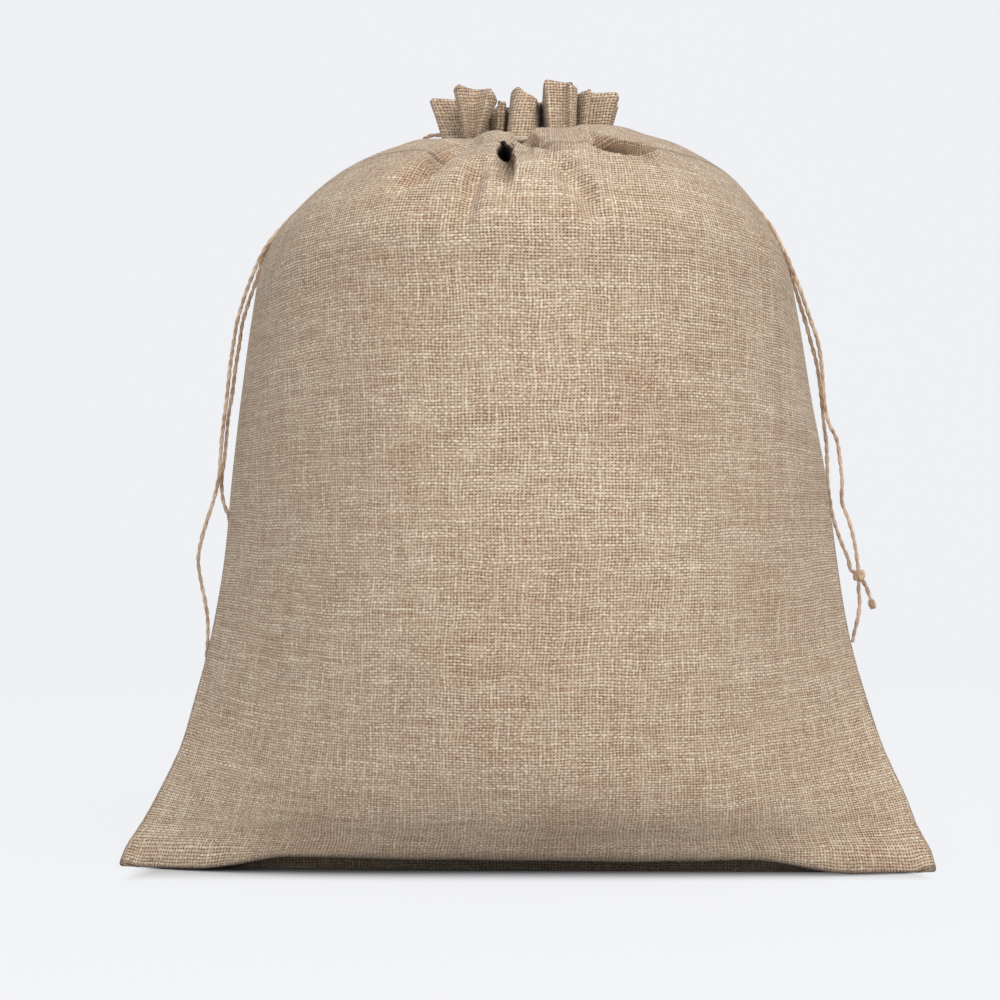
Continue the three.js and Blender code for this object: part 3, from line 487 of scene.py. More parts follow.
def heading_knots(rise):
    """Turns and points all round the heading at a rise from 0 to 1."""
    pleats = [dict(zip(PLEAT_COLUMNS, row)) for row in PLEATS]
    turns, knots = [], []
    for pleat, after in zip(pleats, pleats[1:] + pleats[:1]):
        more_turns, more_knots = pleat_knots(pleat, after, rise)
        turns += more_turns
        knots += more_knots
    return np.array(turns), np.array(knots)


def closed_curve(starts, knots, angle):
    """A smooth closed curve through knots at angles, read at the angles of the cloth."""
    count = len(starts)
    spots = np.concatenate([starts[-3:] - 360, starts, starts[:3] + 360])
    ring = np.concatenate([knots[-3:], knots, knots[:3]])
    slopes = np.zeros_like(ring)
    slopes[1:-1] = (ring[2:] - ring[:-2]) / (spots[2:] - spots[:-2])[:, None]
    at = (angle - starts[0]) % 360.0 + starts[0]
    k = np.clip(np.searchsorted(spots, at, side="right") - 1, 1, count + 3)
    step = (spots[k + 1] - spots[k])[:, None]
    t = ((at - spots[k])[:, None]) / step
    low = (1 + 2 * t) * (1 - t) ** 2 * ring[k] + t * (1 - t) ** 2 * step * slopes[k]
    high = t * t * (3 - 2 * t) * ring[k + 1] + t * t * (t - 1) * step * slopes[k + 1]
    return low + high


def crowded(count, weights):
    """Places from 0 to the number of weights, closer together where a weight is larger."""
    ends = np.concatenate([[0.0], np.cumsum(weights)])
    return np.interp(np.linspace(0.0, ends[-1], count), ends, np.arange(len(ends)))


# In what proportion rows of points go to the rings, and columns to the tenths of a panel's width.
ROW_WEIGHTS = (1, 1, 1, 2, 1.4, 1.6, 2, 2, 2.4, 3, 3, 3, 3, 3, 4, 8, 14, 17, 17, 14, 11, 8, 6, 4, 5, 5, 5, 5)
COLUMN_WEIGHTS = (7, 7, 8, 13, 22, 22, 13, 8, 7, 7)


def cloth_grid(first, rows, columns, gap):
    """Outer face of one panel as rows of points, in millimetres, how far its creases go in, and
    the points' levels and shares."""
    levels = crowded(rows, ROW_WEIGHTS)
    share = crowded(columns, COLUMN_WEIGHTS) / len(COLUMN_WEIGHTS)
    rings = rings_at(levels)
    grid = np.zeros((rows, columns, 3))
    side = -1.0 if first < 0 else 1.0
    for r, level in enumerate(levels):
        ring = {name: values[r] for name, values in rings.items()}
        angle = even_angles(ring, first, share)
        points = body_points(ring, level, angle)
        turn_by = math.radians(ring["yaw"])
        points[:, 1] = side * np.maximum(side * points[:, 1], gap / 2)
        points[[0, -1], 1] = side * gap / 2
        x = points[:, 0] * math.cos(turn_by) - points[:, 1] * math.sin(turn_by) + ring["shift"]
        y = points[:, 0] * math.sin(turn_by) + points[:, 1] * math.cos(turn_by) - ring["forward"]
        points = np.stack([x, y, points[:, 2]], -1)
        if level > NECK_RING - 2.0:
            rise = max(0.0, (level - NECK_RING) / (TOP_RING - NECK_RING))
            heading = closed_curve(*heading_knots(rise), gathered(angle, NECK_RING))
            heading[:, 1] = side * np.maximum(side * heading[:, 1], gap / 2)
            heading[[0, -1], 1] = side * gap / 2
            points = blend(points, heading, ease((level - NECK_RING + 2.0) / 1.9))
        grid[r] = points
    dent = np.zeros((rows, columns))
    if side < 0:
        smooth = grid.copy()
        grid = creased(grid, levels)
        dent = np.linalg.norm(grid - smooth, axis=-1)
    return grid, dent, levels, share


def normals_of(grid):
    """Outward normals of a grid of points."""
    across = np.gradient(grid, axis=1)
    up = np.gradient(grid, axis=0)
    normal = np.cross(across, up)
    return normal / np.maximum(np.linalg.norm(normal, axis=-1, keepdims=True), 1e-9)


# Unevenness of the cloth, millimetres: the size of its waves across and along, and their height.
WIDE_WAVES = (55.0, 80.0, 0.9)
FINE_WAVES = (16.0, 30.0, 0.28)
WAVES_RISE = 30.0       # cloth above the bottom seam over which the waves set in


def undulate(grid, normal, across, along):
    """Soft uneven places of cloth that hangs over its contents."""
    wide = noise(across / WIDE_WAVES[0], along / WIDE_WAVES[1], SEED, 2) * WIDE_WAVES[2]
    fine = noise(across / FINE_WAVES[0] + 3.1, along / FINE_WAVES[1] + 7.7, SEED + 1, 2) * FINE_WAVES[2]
    return grid + normal * ((wide + fine) * ease(along / WAVES_RISE))[..., None]


def widened(values, steps):
    """The largest of the values within a few steps of each point, on rows and on columns."""
    for axis in (0, 1):
        values = np.max([np.roll(values, step, axis) for step in range(-steps, steps + 1)], axis=0)
    return values


def creased(grid, levels):
    """The front of the shoulder with its crown and its creases."""
    across, lifts = np.array(CROWN, float).T
    near = ease((grid[..., 2] - CROWN_START) / CROWN_RISE)
    near = near * ease((NECK_RING - 0.8 - levels) / 2.0)[:, None]
    grid[..., 2] += near * through(across, lifts, grid[..., 0])
    spot = grid[..., [0, 2]]
    inwards, straight = -normals_of(grid), np.array([0.0, 1.0, 0.0])
    for row in CREASES:
        crease = dict(zip(CREASE_COLUMNS, row))
        path = np.array(crease["path"], float)
        nearest = np.full(spot.shape[:2], np.inf)
        depth, side = np.zeros(spot.shape[:2]), np.ones(spot.shape[:2])
        for k in range(len(path) - 1):
            run = path[k + 1] - path[k]
            along = np.clip(((spot - path[k]) @ run) / run.dot(run), 0.0, 1.0)
            off = spot - path[k] - along[..., None] * run
            distance = np.hypot(off[..., 0], off[..., 1])
            closer = distance < nearest
            nearest = np.where(closer, distance, nearest)
            depth = np.where(closer, blend(crease["deep"][k], crease["deep"][k + 1], along), depth)
            side = np.where(closer, run[0] * off[..., 1] - run[1] * off[..., 0], side)
        wide = np.where(side > 0, crease["left"], crease["right"])
        depth = depth * ease((1.0 - nearest / wide) / crease["wall"])
        grid += blend(inwards, straight, crease["back"]) * depth[..., None]
    return grid


# ---- Meshes ---------------------------------------------------------------------------------

def mesh_object(name, points, faces, smooth=True):
    mesh = bpy.data.meshes.new(name)
    mesh.from_pydata([tuple(p) for p in points], [], faces)
    mesh.validate()
    mesh.polygons.foreach_set("use_smooth", [smooth] * len(mesh.polygons))
    piece = bpy.data.objects.new(name, mesh)
    bpy.context.scene.collection.objects.link(piece)
    return piece


def add_map(piece, name, places):
    """Gives a mesh a map, with one place for each of its points."""
    corner = np.zeros(len(piece.data.loops), int)
    piece.data.loops.foreach_get("vertex_index", corner)
    layer = piece.data.uv_layers.new(name=name)
    layer.data.foreach_set("uv", np.asarray(places)[corner].ravel())


def grid_faces(rows, columns, offset, flip):
    r, c = np.meshgrid(np.arange(rows - 1), np.arange(columns - 1), indexing="ij")
    a = offset + r * columns + c
    quads = np.stack([a, a + 1, a + columns + 1, a + columns], -1).reshape(-1, 4)
    return quads[:, ::-1] if flip else quads


def stitched(fine, coarse, flip):
    """Faces between an edge of fine points and one with every other point."""
    faces = []
    for k in range(len(coarse) - 1):
        face = [fine[2 * k], fine[2 * k + 1], fine[2 * k + 2], coarse[k + 1], coarse[k]]
        faces.append(face[::-1] if flip else face)
    return [[int(corner) for corner in face] for face in faces]


PANEL_GAP = 0.04        # between the panels along their seams, millimetres
SEWN_SHARE = 0.08       # share of a panel beside each seam over which its unevenness grows
INNER_SPREAD = 4        # points by which the dents of the inner face are wider than the outer one's
FLOOR_GAP = 0.02        # between the inner face and the floor, millimetres
RIM_TURNS = (math.pi / 4, math.pi / 2, 3 * math.pi / 4)
RIM_STEP = 0.6          # cloth from one row of the rim to the next, millimetres

# Cloth coordinates, millimetres. The way up the middle of a panel counts in full up to the shoulder
# and in part over it, where the gathers take up cloth.
SHOULDER_START = 330.0
SHOULDER_RATE = 0.6
HEADING_START = 400.0
HEADING_SIDE = 5.0      # cloth of the heading before its first point across
INNER_OFFSET = 3.3      # keeps the yarns of the inner face from lying right behind the outer ones
MAP_SCALE = 0.01        # of the map, for each millimetre of cloth


def cloth_coordinates(grid, levels, share):
    """Millimetres of cloth across and along one panel, at each point of its grid."""
    rows, columns = grid.shape[:2]
    climb = way_along(grid[:, columns // 2])
    climb = np.minimum(climb, SHOULDER_START + (climb - SHOULDER_START) * SHOULDER_RATE)
    across = np.broadcast_to(share * GIRTH / 2, (rows, columns)).copy()
    along = np.broadcast_to(climb[:, None], (rows, columns)).copy()
    in_heading = levels > NECK_RING - 0.5
    across[in_heading] = way_along(grid[np.searchsorted(levels, NECK_RING + 2.5)]) + HEADING_SIDE
    along[in_heading] = HEADING_START + grid[in_heading][..., 2] - NECK_HEIGHT
    return across, along


def rounded_rim(outer, inner):
    """Three rows of points that round the top edge from the outer face over to the inner one."""
    centre, arm = (outer + inner) / 2, (outer - inner) / 2
    up = np.linalg.norm(arm, axis=-1, keepdims=True) * np.array([0.0, 0.0, 1.0])
    return np.array([centre + arm * math.cos(a) + up * math.sin(a) for a in RIM_TURNS])


def panel_faces(total, rows, columns, low):
    """Faces of a sheet: a fine outer face with its rim, a coarse inner one, and strips between them."""
    ids = np.arange(total * columns).reshape(total, columns)
    faces = grid_faces(total, columns, 0, False).tolist()
    faces += grid_faces(*low.shape, total * columns, True).tolist()
    faces += stitched(ids[-1], low[-1], True)
    faces += [face[::-1] for face in stitched(ids[0], low[0], False)]
    faces += stitched(ids[:rows, 0], low[:, 0], False)
    faces += stitched(ids[:rows, -1], low[:, -1], True)
    for column, flip in ((0, False), (-1, True)):
        cap = [int(k) for k in ids[rows - 1:, column]] + [int(low[-1, column])]
        faces.append(cap if flip else cap[::-1])
    return faces


def panel_object(name, first, settings, detail=1.0):
    """One panel as a closed sheet with a rounded top edge and cloth coordinates."""
    rows = 2 * int(settings.rows * detail / 2) + 1
    columns = 2 * int(settings.columns * detail / 2) + 1
    grid, dent, levels, share = cloth_grid(first, rows, columns, PANEL_GAP)
    across, along = cloth_coordinates(grid, levels, share)
    calm = np.clip((FIRST_UPPER + 5.0 - levels) / 5.0, 0.0, 1.0)[:, None, None]
    sewn = ease(np.minimum(share, 1.0 - share) / SEWN_SHARE)[None, :, None]
    outer = blend(grid, undulate(grid, normals_of(grid), across, along), calm * sewn)
    thick = blend(settings.thickness, settings.hem, ease((levels - NECK_RING) / 2.0)) / MM
    inner = outer - normals_of(outer) * thick[:, None, None]
    inner[..., 1] += widened(dent, INNER_SPREAD) - dent
    inner[..., 2] = np.maximum(inner[..., 2], FLOOR_GAP)
    sheet = np.concatenate([outer, rounded_rim(outer[-1], inner[-1])])
    coarse = inner[::2, ::2]
    total = len(sheet)
    low = total * columns + np.arange(coarse.size // 3).reshape(coarse.shape[:2])
    points = np.concatenate([sheet.reshape(-1, 3), coarse.reshape(-1, 3)]) * MM
    piece = mesh_object(name, points, panel_faces(total, rows, columns, low))
    before = 0.0 if first < 0 else GIRTH / 2
    rim_across = np.tile(across[-1], len(RIM_TURNS))
    rim_along = np.concatenate([along[-1] + RIM_STEP * (k + 1) for k in range(len(RIM_TURNS))])
    map_across = np.concatenate([across.ravel(), rim_across, across[::2, ::2].ravel()]) + before
    map_along = np.concatenate([along.ravel(), rim_along, along[::2, ::2].ravel() + INNER_OFFSET])
    add_map(piece, "cloth", np.stack([map_across, map_along], -1) * MAP_SCALE)
    return piece


# ---- Materials ------------------------------------------------------------------------------

class Tree:
    """Adds and links shader nodes with little writing."""

    def __init__(self, tree):
        self.tree = tree

    def node(self, kind, inputs=None, **settings):
        node = self.tree.nodes.new(kind)
        for name, value in settings.items():
            setattr(node, name, value)
        for key, value in (inputs or {}).items():
            socket = node.inputs[key]
            if isinstance(value, bpy.types.NodeSocket):
                self.tree.links.new(value, socket)
            else:
                socket.default_value = value
        return node

    def math(self, operation, first, second=0.0, third=0.0):
        return self.node("ShaderNodeMath", {0: first, 1: second, 2: third}, operation=operation).outputs[0]

    def smooth(self, value, low, high, start=0.0, end=1.0):
        inputs = {0: value, 1: low, 2: high, 3: start, 4: end}
        return self.node("ShaderNodeMapRange", inputs, interpolation_type="SMOOTHSTEP").outputs[0]

    def vector(self, x=0.0, y=0.0, z=0.0):
        return self.node("ShaderNodeCombineXYZ", {0: x, 1: y, 2: z}).outputs[0]

    def noise(self, vector, scale=1.0, detail=2.0, roughness=0.5):
        inputs = {"Vector": vector, "Scale": scale, "Detail": detail, "Roughness": roughness}
        return self.node("ShaderNodeTexNoise", inputs).outputs["Fac"]

    def mix(self, share, first, second, mode="MIX"):
        node = self.node("ShaderNodeMix", {0: share, 6: first, 7: second}, data_type="RGBA", blend_type=mode)
        return node.outputs[2]


def group_tree(name, inputs, outputs):
    group = bpy.data.node_groups.new(name, "ShaderNodeTree")
    for socket, value in inputs:
        made = group.interface.new_socket(socket, in_out="INPUT", socket_type="NodeSocketFloat")
        made.default_value = value
    for socket, kind in outputs:
        group.interface.new_socket(socket, in_out="OUTPUT", socket_type=kind)
    tree = Tree(group)
    return tree, tree.node("NodeGroupInput").outputs, tree.node("NodeGroupOutput").inputs


def weave_group():
    """Plain weave of uneven yarn. Across and Along are cloth coordinates in yarns."""
    found = bpy.data.node_groups.get("plain_weave")
    if found:
        return found
    tree, given, out = group_tree(
        "plain_weave", [("Across", 0.0), ("Along", 0.0)],
        [("Height", "NodeSocketFloat"), ("Tone", "NodeSocketFloat"), ("Level", "NodeSocketFloat")])
    place = tree.vector(given["Across"], given["Along"])
    drift = tree.math("SUBTRACT", tree.noise(place, 0.055, 2.0), 0.5)
    turned = tree.vector(given["Along"], given["Across"], 7.0)
    drift_b = tree.math("SUBTRACT", tree.noise(turned, 0.06, 2.0), 0.5)
    across = tree.math("MULTIPLY_ADD", drift, 2.4, given["Across"])
    along = tree.math("MULTIPLY_ADD", drift_b, 2.4, given["Along"])
    warp_id, weft_id = tree.math("FLOOR", across), tree.math("FLOOR", along)

    def yarn(off, own, other, crossing, seed, gap, lift, pale):
        """Height and tone of one set of yarns: own counts them, other runs along them."""
        near = tree.math("SUBTRACT", tree.math("SUBTRACT", off, own), 0.5)
        slow = tree.vector(tree.math("MULTIPLY", own, 13.7), tree.math("MULTIPLY", other, 0.11), seed)
        slub = tree.noise(slow, 1.0, 2.0)
        wide = tree.smooth(slub, 0.3, 0.72, 0.86, 1.14)
        spread = tree.math("DIVIDE", near, wide)
        round_ = tree.math("MULTIPLY", tree.math("POWER", tree.math("ABSOLUTE", spread), 2.2), -gap)
        wave = tree.math("MULTIPLY", tree.math("COSINE", tree.math("MULTIPLY", crossing, math.pi)), 0.42)
        hair = tree.vector(tree.math("MULTIPLY", off, 3.1), tree.math("MULTIPLY", other, 0.9), seed + 3.0)
        fibre = tree.noise(hair, 1.0, 3.0, 0.6)
        height = tree.math("ADD", round_, tree.math("ADD", wave, lift))
        height = tree.math("MULTIPLY_ADD", tree.math("SUBTRACT", slub, 0.5), 0.8, height)
        height = tree.math("MULTIPLY_ADD", tree.math("SUBTRACT", fibre, 0.5), 0.35, height)
        dyed = tree.vector(tree.math("MULTIPLY", own, 7.3), tree.math("MULTIPLY", other, 0.06), seed + 9.0)
        tint = tree.noise(dyed, 1.0, 4.0, 0.68)
        tint = tree.math("MULTIPLY_ADD", tree.math("SUBTRACT", tint, 0.5), 0.75, 0.52 + pale)
        tone = tree.math("MULTIPLY_ADD", tree.math("SUBTRACT", fibre, 0.5), 0.4, tint)
        return height, tone

    warp_cross = tree.math("ADD", tree.math("SUBTRACT", along, 0.5), warp_id)
    weft_cross = tree.math("ADD", tree.math("ADD", across, 0.5), weft_id)
    warp_height, warp_tone = yarn(across, warp_id, along, warp_cross, 1.5, 6.0, -0.02, -0.02)
    weft_height, weft_tone = yarn(along, weft_id, across, weft_cross, 5.5, 6.0, 0.04, 0.03)
    over = tree.smooth(tree.math("SUBTRACT", weft_height, warp_height), -0.12, 0.12)
    height = tree.math("MAXIMUM", warp_height, weft_height)
    chance = tree.math("SUBTRACT", tree.noise(place, 0.9, 2.0, 0.7), 0.5)
    height = tree.math("MULTIPLY_ADD", chance, 0.9, height)
    under = tree.math("SUBTRACT", 1.0, over)
    tone = tree.math("ADD", tree.math("MULTIPLY", over, weft_tone), tree.math("MULTIPLY", under, warp_tone))
    tree.tree.links.new(height, out["Height"])
    tree.tree.links.new(tree.math("MULTIPLY_ADD", chance, 0.5, tone), out["Tone"])
    tree.tree.links.new(tree.smooth(height, -0.75, 0.2), out["Level"])
    return tree.tree


def new_material(name):
    material = bpy.data.materials.new(name)
    material.use_nodes = True
    material.node_tree.nodes.clear()
    return material, Tree(material.node_tree)


PAINTED_SHADE_REACH = 0.03                              # metres within which nearby cloth or floor brings painted shade onto the cloth
PAINTED_SHADE_COLOUR = (0.03, 0.02, 0.014, 1.0)      # painted shade: colour of cloth deep in a fold or close over the floor


def cloth_material(settings):
    """Coarse cloth of slubby beige yarn, with painted shade where it lies deep in folds or close over the
    floor.
    """
    found = bpy.data.materials.get("gift_bag_cloth")
    if found:
        return found
    material, tree = new_material("gift_bag_cloth")
    place = tree.node("ShaderNodeUVMap", uv_map="cloth").outputs["UV"]
    split = tree.node("ShaderNodeSeparateXYZ", {0: place}).outputs
    across = tree.math("MULTIPLY", split["X"], MM / MAP_SCALE / settings.warp)
    along = tree.math("MULTIPLY", split["Y"], MM / MAP_SCALE / settings.weft)
    weave = tree.node("ShaderNodeGroup", node_tree=weave_group())
    tree.tree.links.new(across, weave.inputs["Across"])
    tree.tree.links.new(along, weave.inputs["Along"])
    height, tone, level = (weave.outputs[k] for k in ("Height", "Tone", "Level"))
    cloud = tree.noise(tree.vector(across, tree.math("MULTIPLY", along, 1.3)), 0.02, 3.0, 0.55)
    tone = tree.math("MULTIPLY_ADD", tree.math("SUBTRACT", cloud, 0.5), 0.16, tone)
    low = tree.mix(tree.smooth(tone, 0.26, 0.5), (*settings.dark, 1.0), (*settings.middle, 1.0))
    colour = tree.mix(tree.smooth(tone, 0.47, 0.72), low, (*settings.light, 1.0))
    colour = tree.mix(tree.smooth(level, 0.0, 1.0, 0.9, 0.0), colour, (*settings.gaps, 1.0))
    # Painted shade: the colour goes towards near-black where other cloth or the floor is close, in folds, the
    # hole and under the front.
    openness = tree.node("ShaderNodeAmbientOcclusion", {"Distance": PAINTED_SHADE_REACH}, samples=4).outputs["AO"]
    colour = tree.mix(tree.smooth(openness, 0.04, 0.26, 0.85, 0.0), colour, PAINTED_SHADE_COLOUR)
    bump = tree.node("ShaderNodeBump", {"Strength": 1.0, "Distance": settings.relief, "Height": height})
    shader = tree.node("ShaderNodeBsdfPrincipled", {
        "Base Color": colour, "Roughness": 0.88, "Specular IOR Level": 0.22, "Sheen Weight": 0.12,
        "Sheen Roughness": 0.5, "Normal": bump.outputs["Normal"]})
    tree.node("ShaderNodeOutputMaterial", {"Surface": shader.outputs[0]})
    return material


def twine_material(settings):
    """Hairy jute. Its map runs round the ply and along it."""
    found = bpy.data.materials.get("gift_bag_twine")
    if found:
        return found
    material, tree = new_material("gift_bag_twine")
    place = tree.node("ShaderNodeUVMap", uv_map="twine").outputs["UV"]
    split = tree.node("ShaderNodeSeparateXYZ", {0: place}).outputs
    strand = tree.vector(tree.math("MULTIPLY", split["X"], 5.0), tree.math("MULTIPLY", split["Y"], 0.35), 2.0)
    fibre = tree.noise(strand, 1.0, 3.0, 0.6)
    patch = tree.noise(tree.vector(3.0, split["Y"], 1.0), 0.09, 2.0)
    tone = tree.math("MULTIPLY_ADD", tree.math("SUBTRACT", patch, 0.5), 0.9, fibre)
    r, g, b = settings.colour
    dark, light = (r * 0.62, g * 0.56, b * 0.52, 1.0), (r * 1.22, g * 1.28, b * 1.35, 1.0)
    colour = tree.mix(tree.smooth(tone, 0.3, 0.72), dark, light)
    bump = tree.node("ShaderNodeBump", {"Strength": 0.8, "Distance": 0.12 * MM, "Height": fibre})
    shader = tree.node("ShaderNodeBsdfPrincipled", {
        "Base Color": colour, "Roughness": 0.8, "Specular IOR Level": 0.25, "Sheen Weight": 0.1,
        "Normal": bump.outputs["Normal"]})
    tree.node("ShaderNodeOutputMaterial", {"Surface": shader.outputs[0]})
    return material


# ---- Twine ----------------------------------------------------------------------------------

def route_curve(points, step):
    """Even points along a centripetal curve through the route, in millimetres."""
    route = np.array(points, float)
    route = np.concatenate([[2 * route[0] - route[1]], route, [2 * route[-1] - route[-2]]])
    fine = []
    for k in range(1, len(route) - 2):
        p0, p1, p2, p3 = route[k - 1:k + 3]
        d0, d1, d2 = (math.sqrt(np.linalg.norm(b - a)) for a, b in ((p0, p1), (p1, p2), (p2, p3)))
        m1 = ((p1 - p0) / d0 - (p2 - p0) / (d0 + d1) + (p2 - p1) / d1) * d1
        m2 = ((p2 - p1) / d1 - (p3 - p1) / (d1 + d2) + (p3 - p2) / d2) * d1
        t = np.linspace(0.0, 1.0, 24, endpoint=False)[:, None]
        low = (1 + 2 * t) * (1 - t) ** 2 * p1 + t * (1 - t) ** 2 * m1
        fine.append(low + t * t * (3 - 2 * t) * p2 + t * t * (t - 1) * m2)
    fine = np.concatenate([*fine, [route[-2]]])
    length = way_along(fine)
    at = np.linspace(0.0, length[-1], max(2, int(round(length[-1] / step)) + 1))
    return np.stack([np.interp(at, length, fine[:, k]) for k in range(3)], -1), at


def carried_axes(path):
    """Two directions across a path that turn with it and don't spin."""
    tangent = np.gradient(path, axis=0)
    tangent /= np.linalg.norm(tangent, axis=1, keepdims=True)
    first = np.zeros_like(path)
    start = np.array([0.0, 1.0, 0.0]) if abs(tangent[0][1]) < 0.9 else np.array([1.0, 0.0, 0.0])
    for k in range(len(path)):
        start = start - tangent[k] * start.dot(tangent[k])
        start /= np.linalg.norm(start)
        first[k] = start
    return tangent, first, np.cross(tangent, first)


def swept(path, radius, sides, run):
    """A tube round a path: its points, faces and map."""
    _, first, second = carried_axes(path)
    radius = np.broadcast_to(np.asarray(radius, float), (len(path),))
    turn_by = np.linspace(0, 2 * math.pi, sides, endpoint=False)
    ring = first[:, None] * np.cos(turn_by)[None, :, None] + second[:, None] * np.sin(turn_by)[None, :, None]
    points = (path[:, None] + ring * radius[:, None, None]).reshape(-1, 3)
    faces = []
    for k in range(len(path) - 1):
        for s in range(sides):
            n = (s + 1) % sides
            faces.append((k * sides + s, k * sides + n, (k + 1) * sides + n, (k + 1) * sides + s))
    faces.append(tuple(range(sides))[::-1])
    faces.append(tuple((len(path) - 1) * sides + s for s in range(sides)))
    uv = np.stack([np.tile(turn_by / (2 * math.pi), len(path)), np.repeat(run, sides)], -1)
    return points, faces, uv


def hairs_on(path, run, settings, generator, reach, radius):
    """Loose fibres that stand off the twine: thin bent blades."""
    tangent, first, second = carried_axes(path)
    count = int(settings.hairs * run[-1] / 10.0)
    points, faces, uv = [], [], []
    for _ in range(count):
        k = generator.integers(1, len(path) - 1)
        turn_by = generator.uniform(0, 2 * math.pi)
        out = first[k] * math.cos(turn_by) + second[k] * math.sin(turn_by)
        sideways = np.cross(out, tangent[k])
        length = generator.uniform(0.5, 1.0) * reach
        lean = tangent[k] * generator.uniform(-1.2, 1.2) + sideways * generator.uniform(-0.7, 0.7)
        root = path[k] + out * radius * 0.8
        middle = root + (out * 0.55 + lean * 0.5) * length * 0.55
        tip = root + (out * 0.8 + lean) * length * generator.uniform(0.7, 1.0)
        wide = np.cross(out + lean, sideways + 0.3 * tangent[k])
        wide = wide / max(np.linalg.norm(wide), 1e-6) * generator.uniform(0.03, 0.055)
        base = len(points)
        points += [root - wide, root + wide, middle + wide * 0.8, middle - wide * 0.8, tip]
        faces += [(base, base + 1, base + 2, base + 3), (base + 3, base + 2, base + 4)]
        uv += [(0.1, run[k])] * 5
    return points, faces, uv


def joined(name, parts, material):
    """One piece from several lists of points, faces and maps, in millimetres."""
    points, faces, uv = [], [], []
    for part_points, part_faces, part_uv in parts:
        base = len(points)
        points += [tuple(np.asarray(p) * MM) for p in part_points]
        faces += [tuple(base + k for k in face) for face in part_faces]
        uv += [tuple(x) for x in part_uv]
    piece = mesh_object(name, points, faces)
    add_map(piece, "twine", uv)
    piece.data.materials.append(material)
    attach(piece, "root")
    return piece


# Shares of the twine's diameter, and a length in millimetres.
PLY_OFF = 0.14          # middle of a ply from the middle of the twine
PLY_RADIUS = 0.27
HAIR_ROOT = 0.42        # roots of the fibres from the middle of the twine
HAIR_LENGTH = 1.25
SWELL = 0.12            # by how much the twine grows thicker and thinner
TUBE_SIDES = 8
KNOT_SIDES = 10
STRAND_STEP = 0.36      # along a strand from one ring of points to the next, millimetres
TAIL_STEP = 0.3


def plies(path, run, settings, generator, phase=0.0):
    """The two plies of a length of twine, laid round each other."""
    _, first, second = carried_axes(path)
    size = settings.diameter / MM
    parts = []
    swell = 1.0 + SWELL * noise(run / 4.0, np.full_like(run, phase), SEED + 11, 2)
    for ply in (0.0, math.pi):
        turn_by = 2 * math.pi * run / (settings.lay / MM) + ply + phase
        off = size * PLY_OFF * swell
        ply_path = path + first * (np.cos(turn_by) * off)[:, None] + second * (np.sin(turn_by) * off)[:, None]
        parts.append(swept(ply_path, size * PLY_RADIUS * swell, TUBE_SIDES, run))
    parts.append(hairs_on(path, run, settings, generator, HAIR_LENGTH, size * HAIR_ROOT))
    return parts


def strand_object(name, points, settings, seed, material):
    generator = np.random.default_rng(seed)
    path, run = route_curve(points, STRAND_STEP)
    piece = joined(name, plies(path, run, settings, generator, seed * 0.7), material)
    return piece, path, run[-1]


def frame_along(along):
    up = np.array(along, float)
    up /= np.linalg.norm(up)
    side = np.cross(up, [0.0, 1.0, 0.0])
    side /= np.linalg.norm(side)
    return side, np.cross(up, side), up


# The knot, millimetres: how far its path swings across, from front to back and along the twine, how
# much of that swing its inner loops take, the radius of its twine, and the length of its fibres and
# how far out they start.
KNOT_SIZE = (0.8, 0.75, 1.25)
KNOT_LOOP = 1.1
KNOT_TWINE = 0.78
KNOT_HAIRS = (1.2, 0.7)


def knot_object(name, knot, settings, seed, material):
    """An overhand knot pulled tight: three turns of twine that cross one another."""
    generator = np.random.default_rng(seed)
    side, back, up = frame_along(knot["along"])
    wide, deep, tall = KNOT_SIZE
    t = np.linspace(0.0, 2 * math.pi, 90)
    x = wide * (np.sin(t) + KNOT_LOOP * np.sin(2 * t))
    y = deep * (np.cos(t) - KNOT_LOOP * np.cos(2 * t))
    z = -tall * np.sin(3 * t)
    path = np.array(knot["at"]) + x[:, None] * side + y[:, None] * back + z[:, None] * up
    run = way_along(path)
    fine = np.linspace(0.0, run[-1], 110)
    path = np.stack([np.interp(fine, run, path[:, k]) for k in range(3)], -1)
    parts = [swept(path, KNOT_TWINE, KNOT_SIDES, fine)]
    parts.append(hairs_on(path, fine, settings, generator, *KNOT_HAIRS))
    return joined(name, parts, material)


TIP_LENGTH = 3.6        # of the teased end of a tail, millimetres
TIP_HAIRS = (1.4, 1.1)  # length of its fibres and how far out they start


def tail_object(name, knot, settings, seed, material):
    """The short tail below a knot, with its plies teased apart into a round tip."""
    generator = np.random.default_rng(seed)
    start, end = (np.array(p, float) for p in knot["tail"])
    lead = start + (np.array(knot["at"]) - start) * 0.45
    path, run = route_curve([lead, start, blend(start, end, 0.5) + [0.25, 0, 0], end], TAIL_STEP)
    parts = plies(path[:-2], run[:-2], settings, generator, 1.1)
    near = run > run[-1] - TIP_LENGTH
    bulb, bulb_run = path[near], run[near] - run[near][0]
    swell = 0.35 + 1.0 * np.sin(np.linspace(0.25, math.pi - 0.35, len(bulb)))
    parts.append(swept(bulb, swell, KNOT_SIDES, bulb_run))
    parts.append(hairs_on(bulb, bulb_run + 20.0, settings, generator, *TIP_HAIRS))
    return joined(name, parts, material)


INTO_KNOT = 0.6         # share of the way to the middle of its knot that a strand's end goes on


def build_side(settings, names, outer, inner, knot, seed):
    """The two strands of one side with their knot and its short tail. The inner one ends in it."""
    material = twine_material(settings)
    pieces = [name + "_twine" for name in names]
    inner = (*inner, tuple(blend(np.array(inner[-1]), np.array(knot["at"]), INTO_KNOT)))
    first, first_path, first_length = strand_object(pieces[0], outer, settings, seed, material)
    second, second_path, second_length = strand_object(pieces[1], inner, settings, seed + 1, material)
    tied = knot_object(pieces[2], knot, settings, seed + 2, material)
    tail = tail_object(pieces[3], knot, settings, seed + 3, material)
    for piece, name in zip((first, second, tied, tail), names):
        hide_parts(name)


# ---- Stage ----------------------------------------------------------------------------------

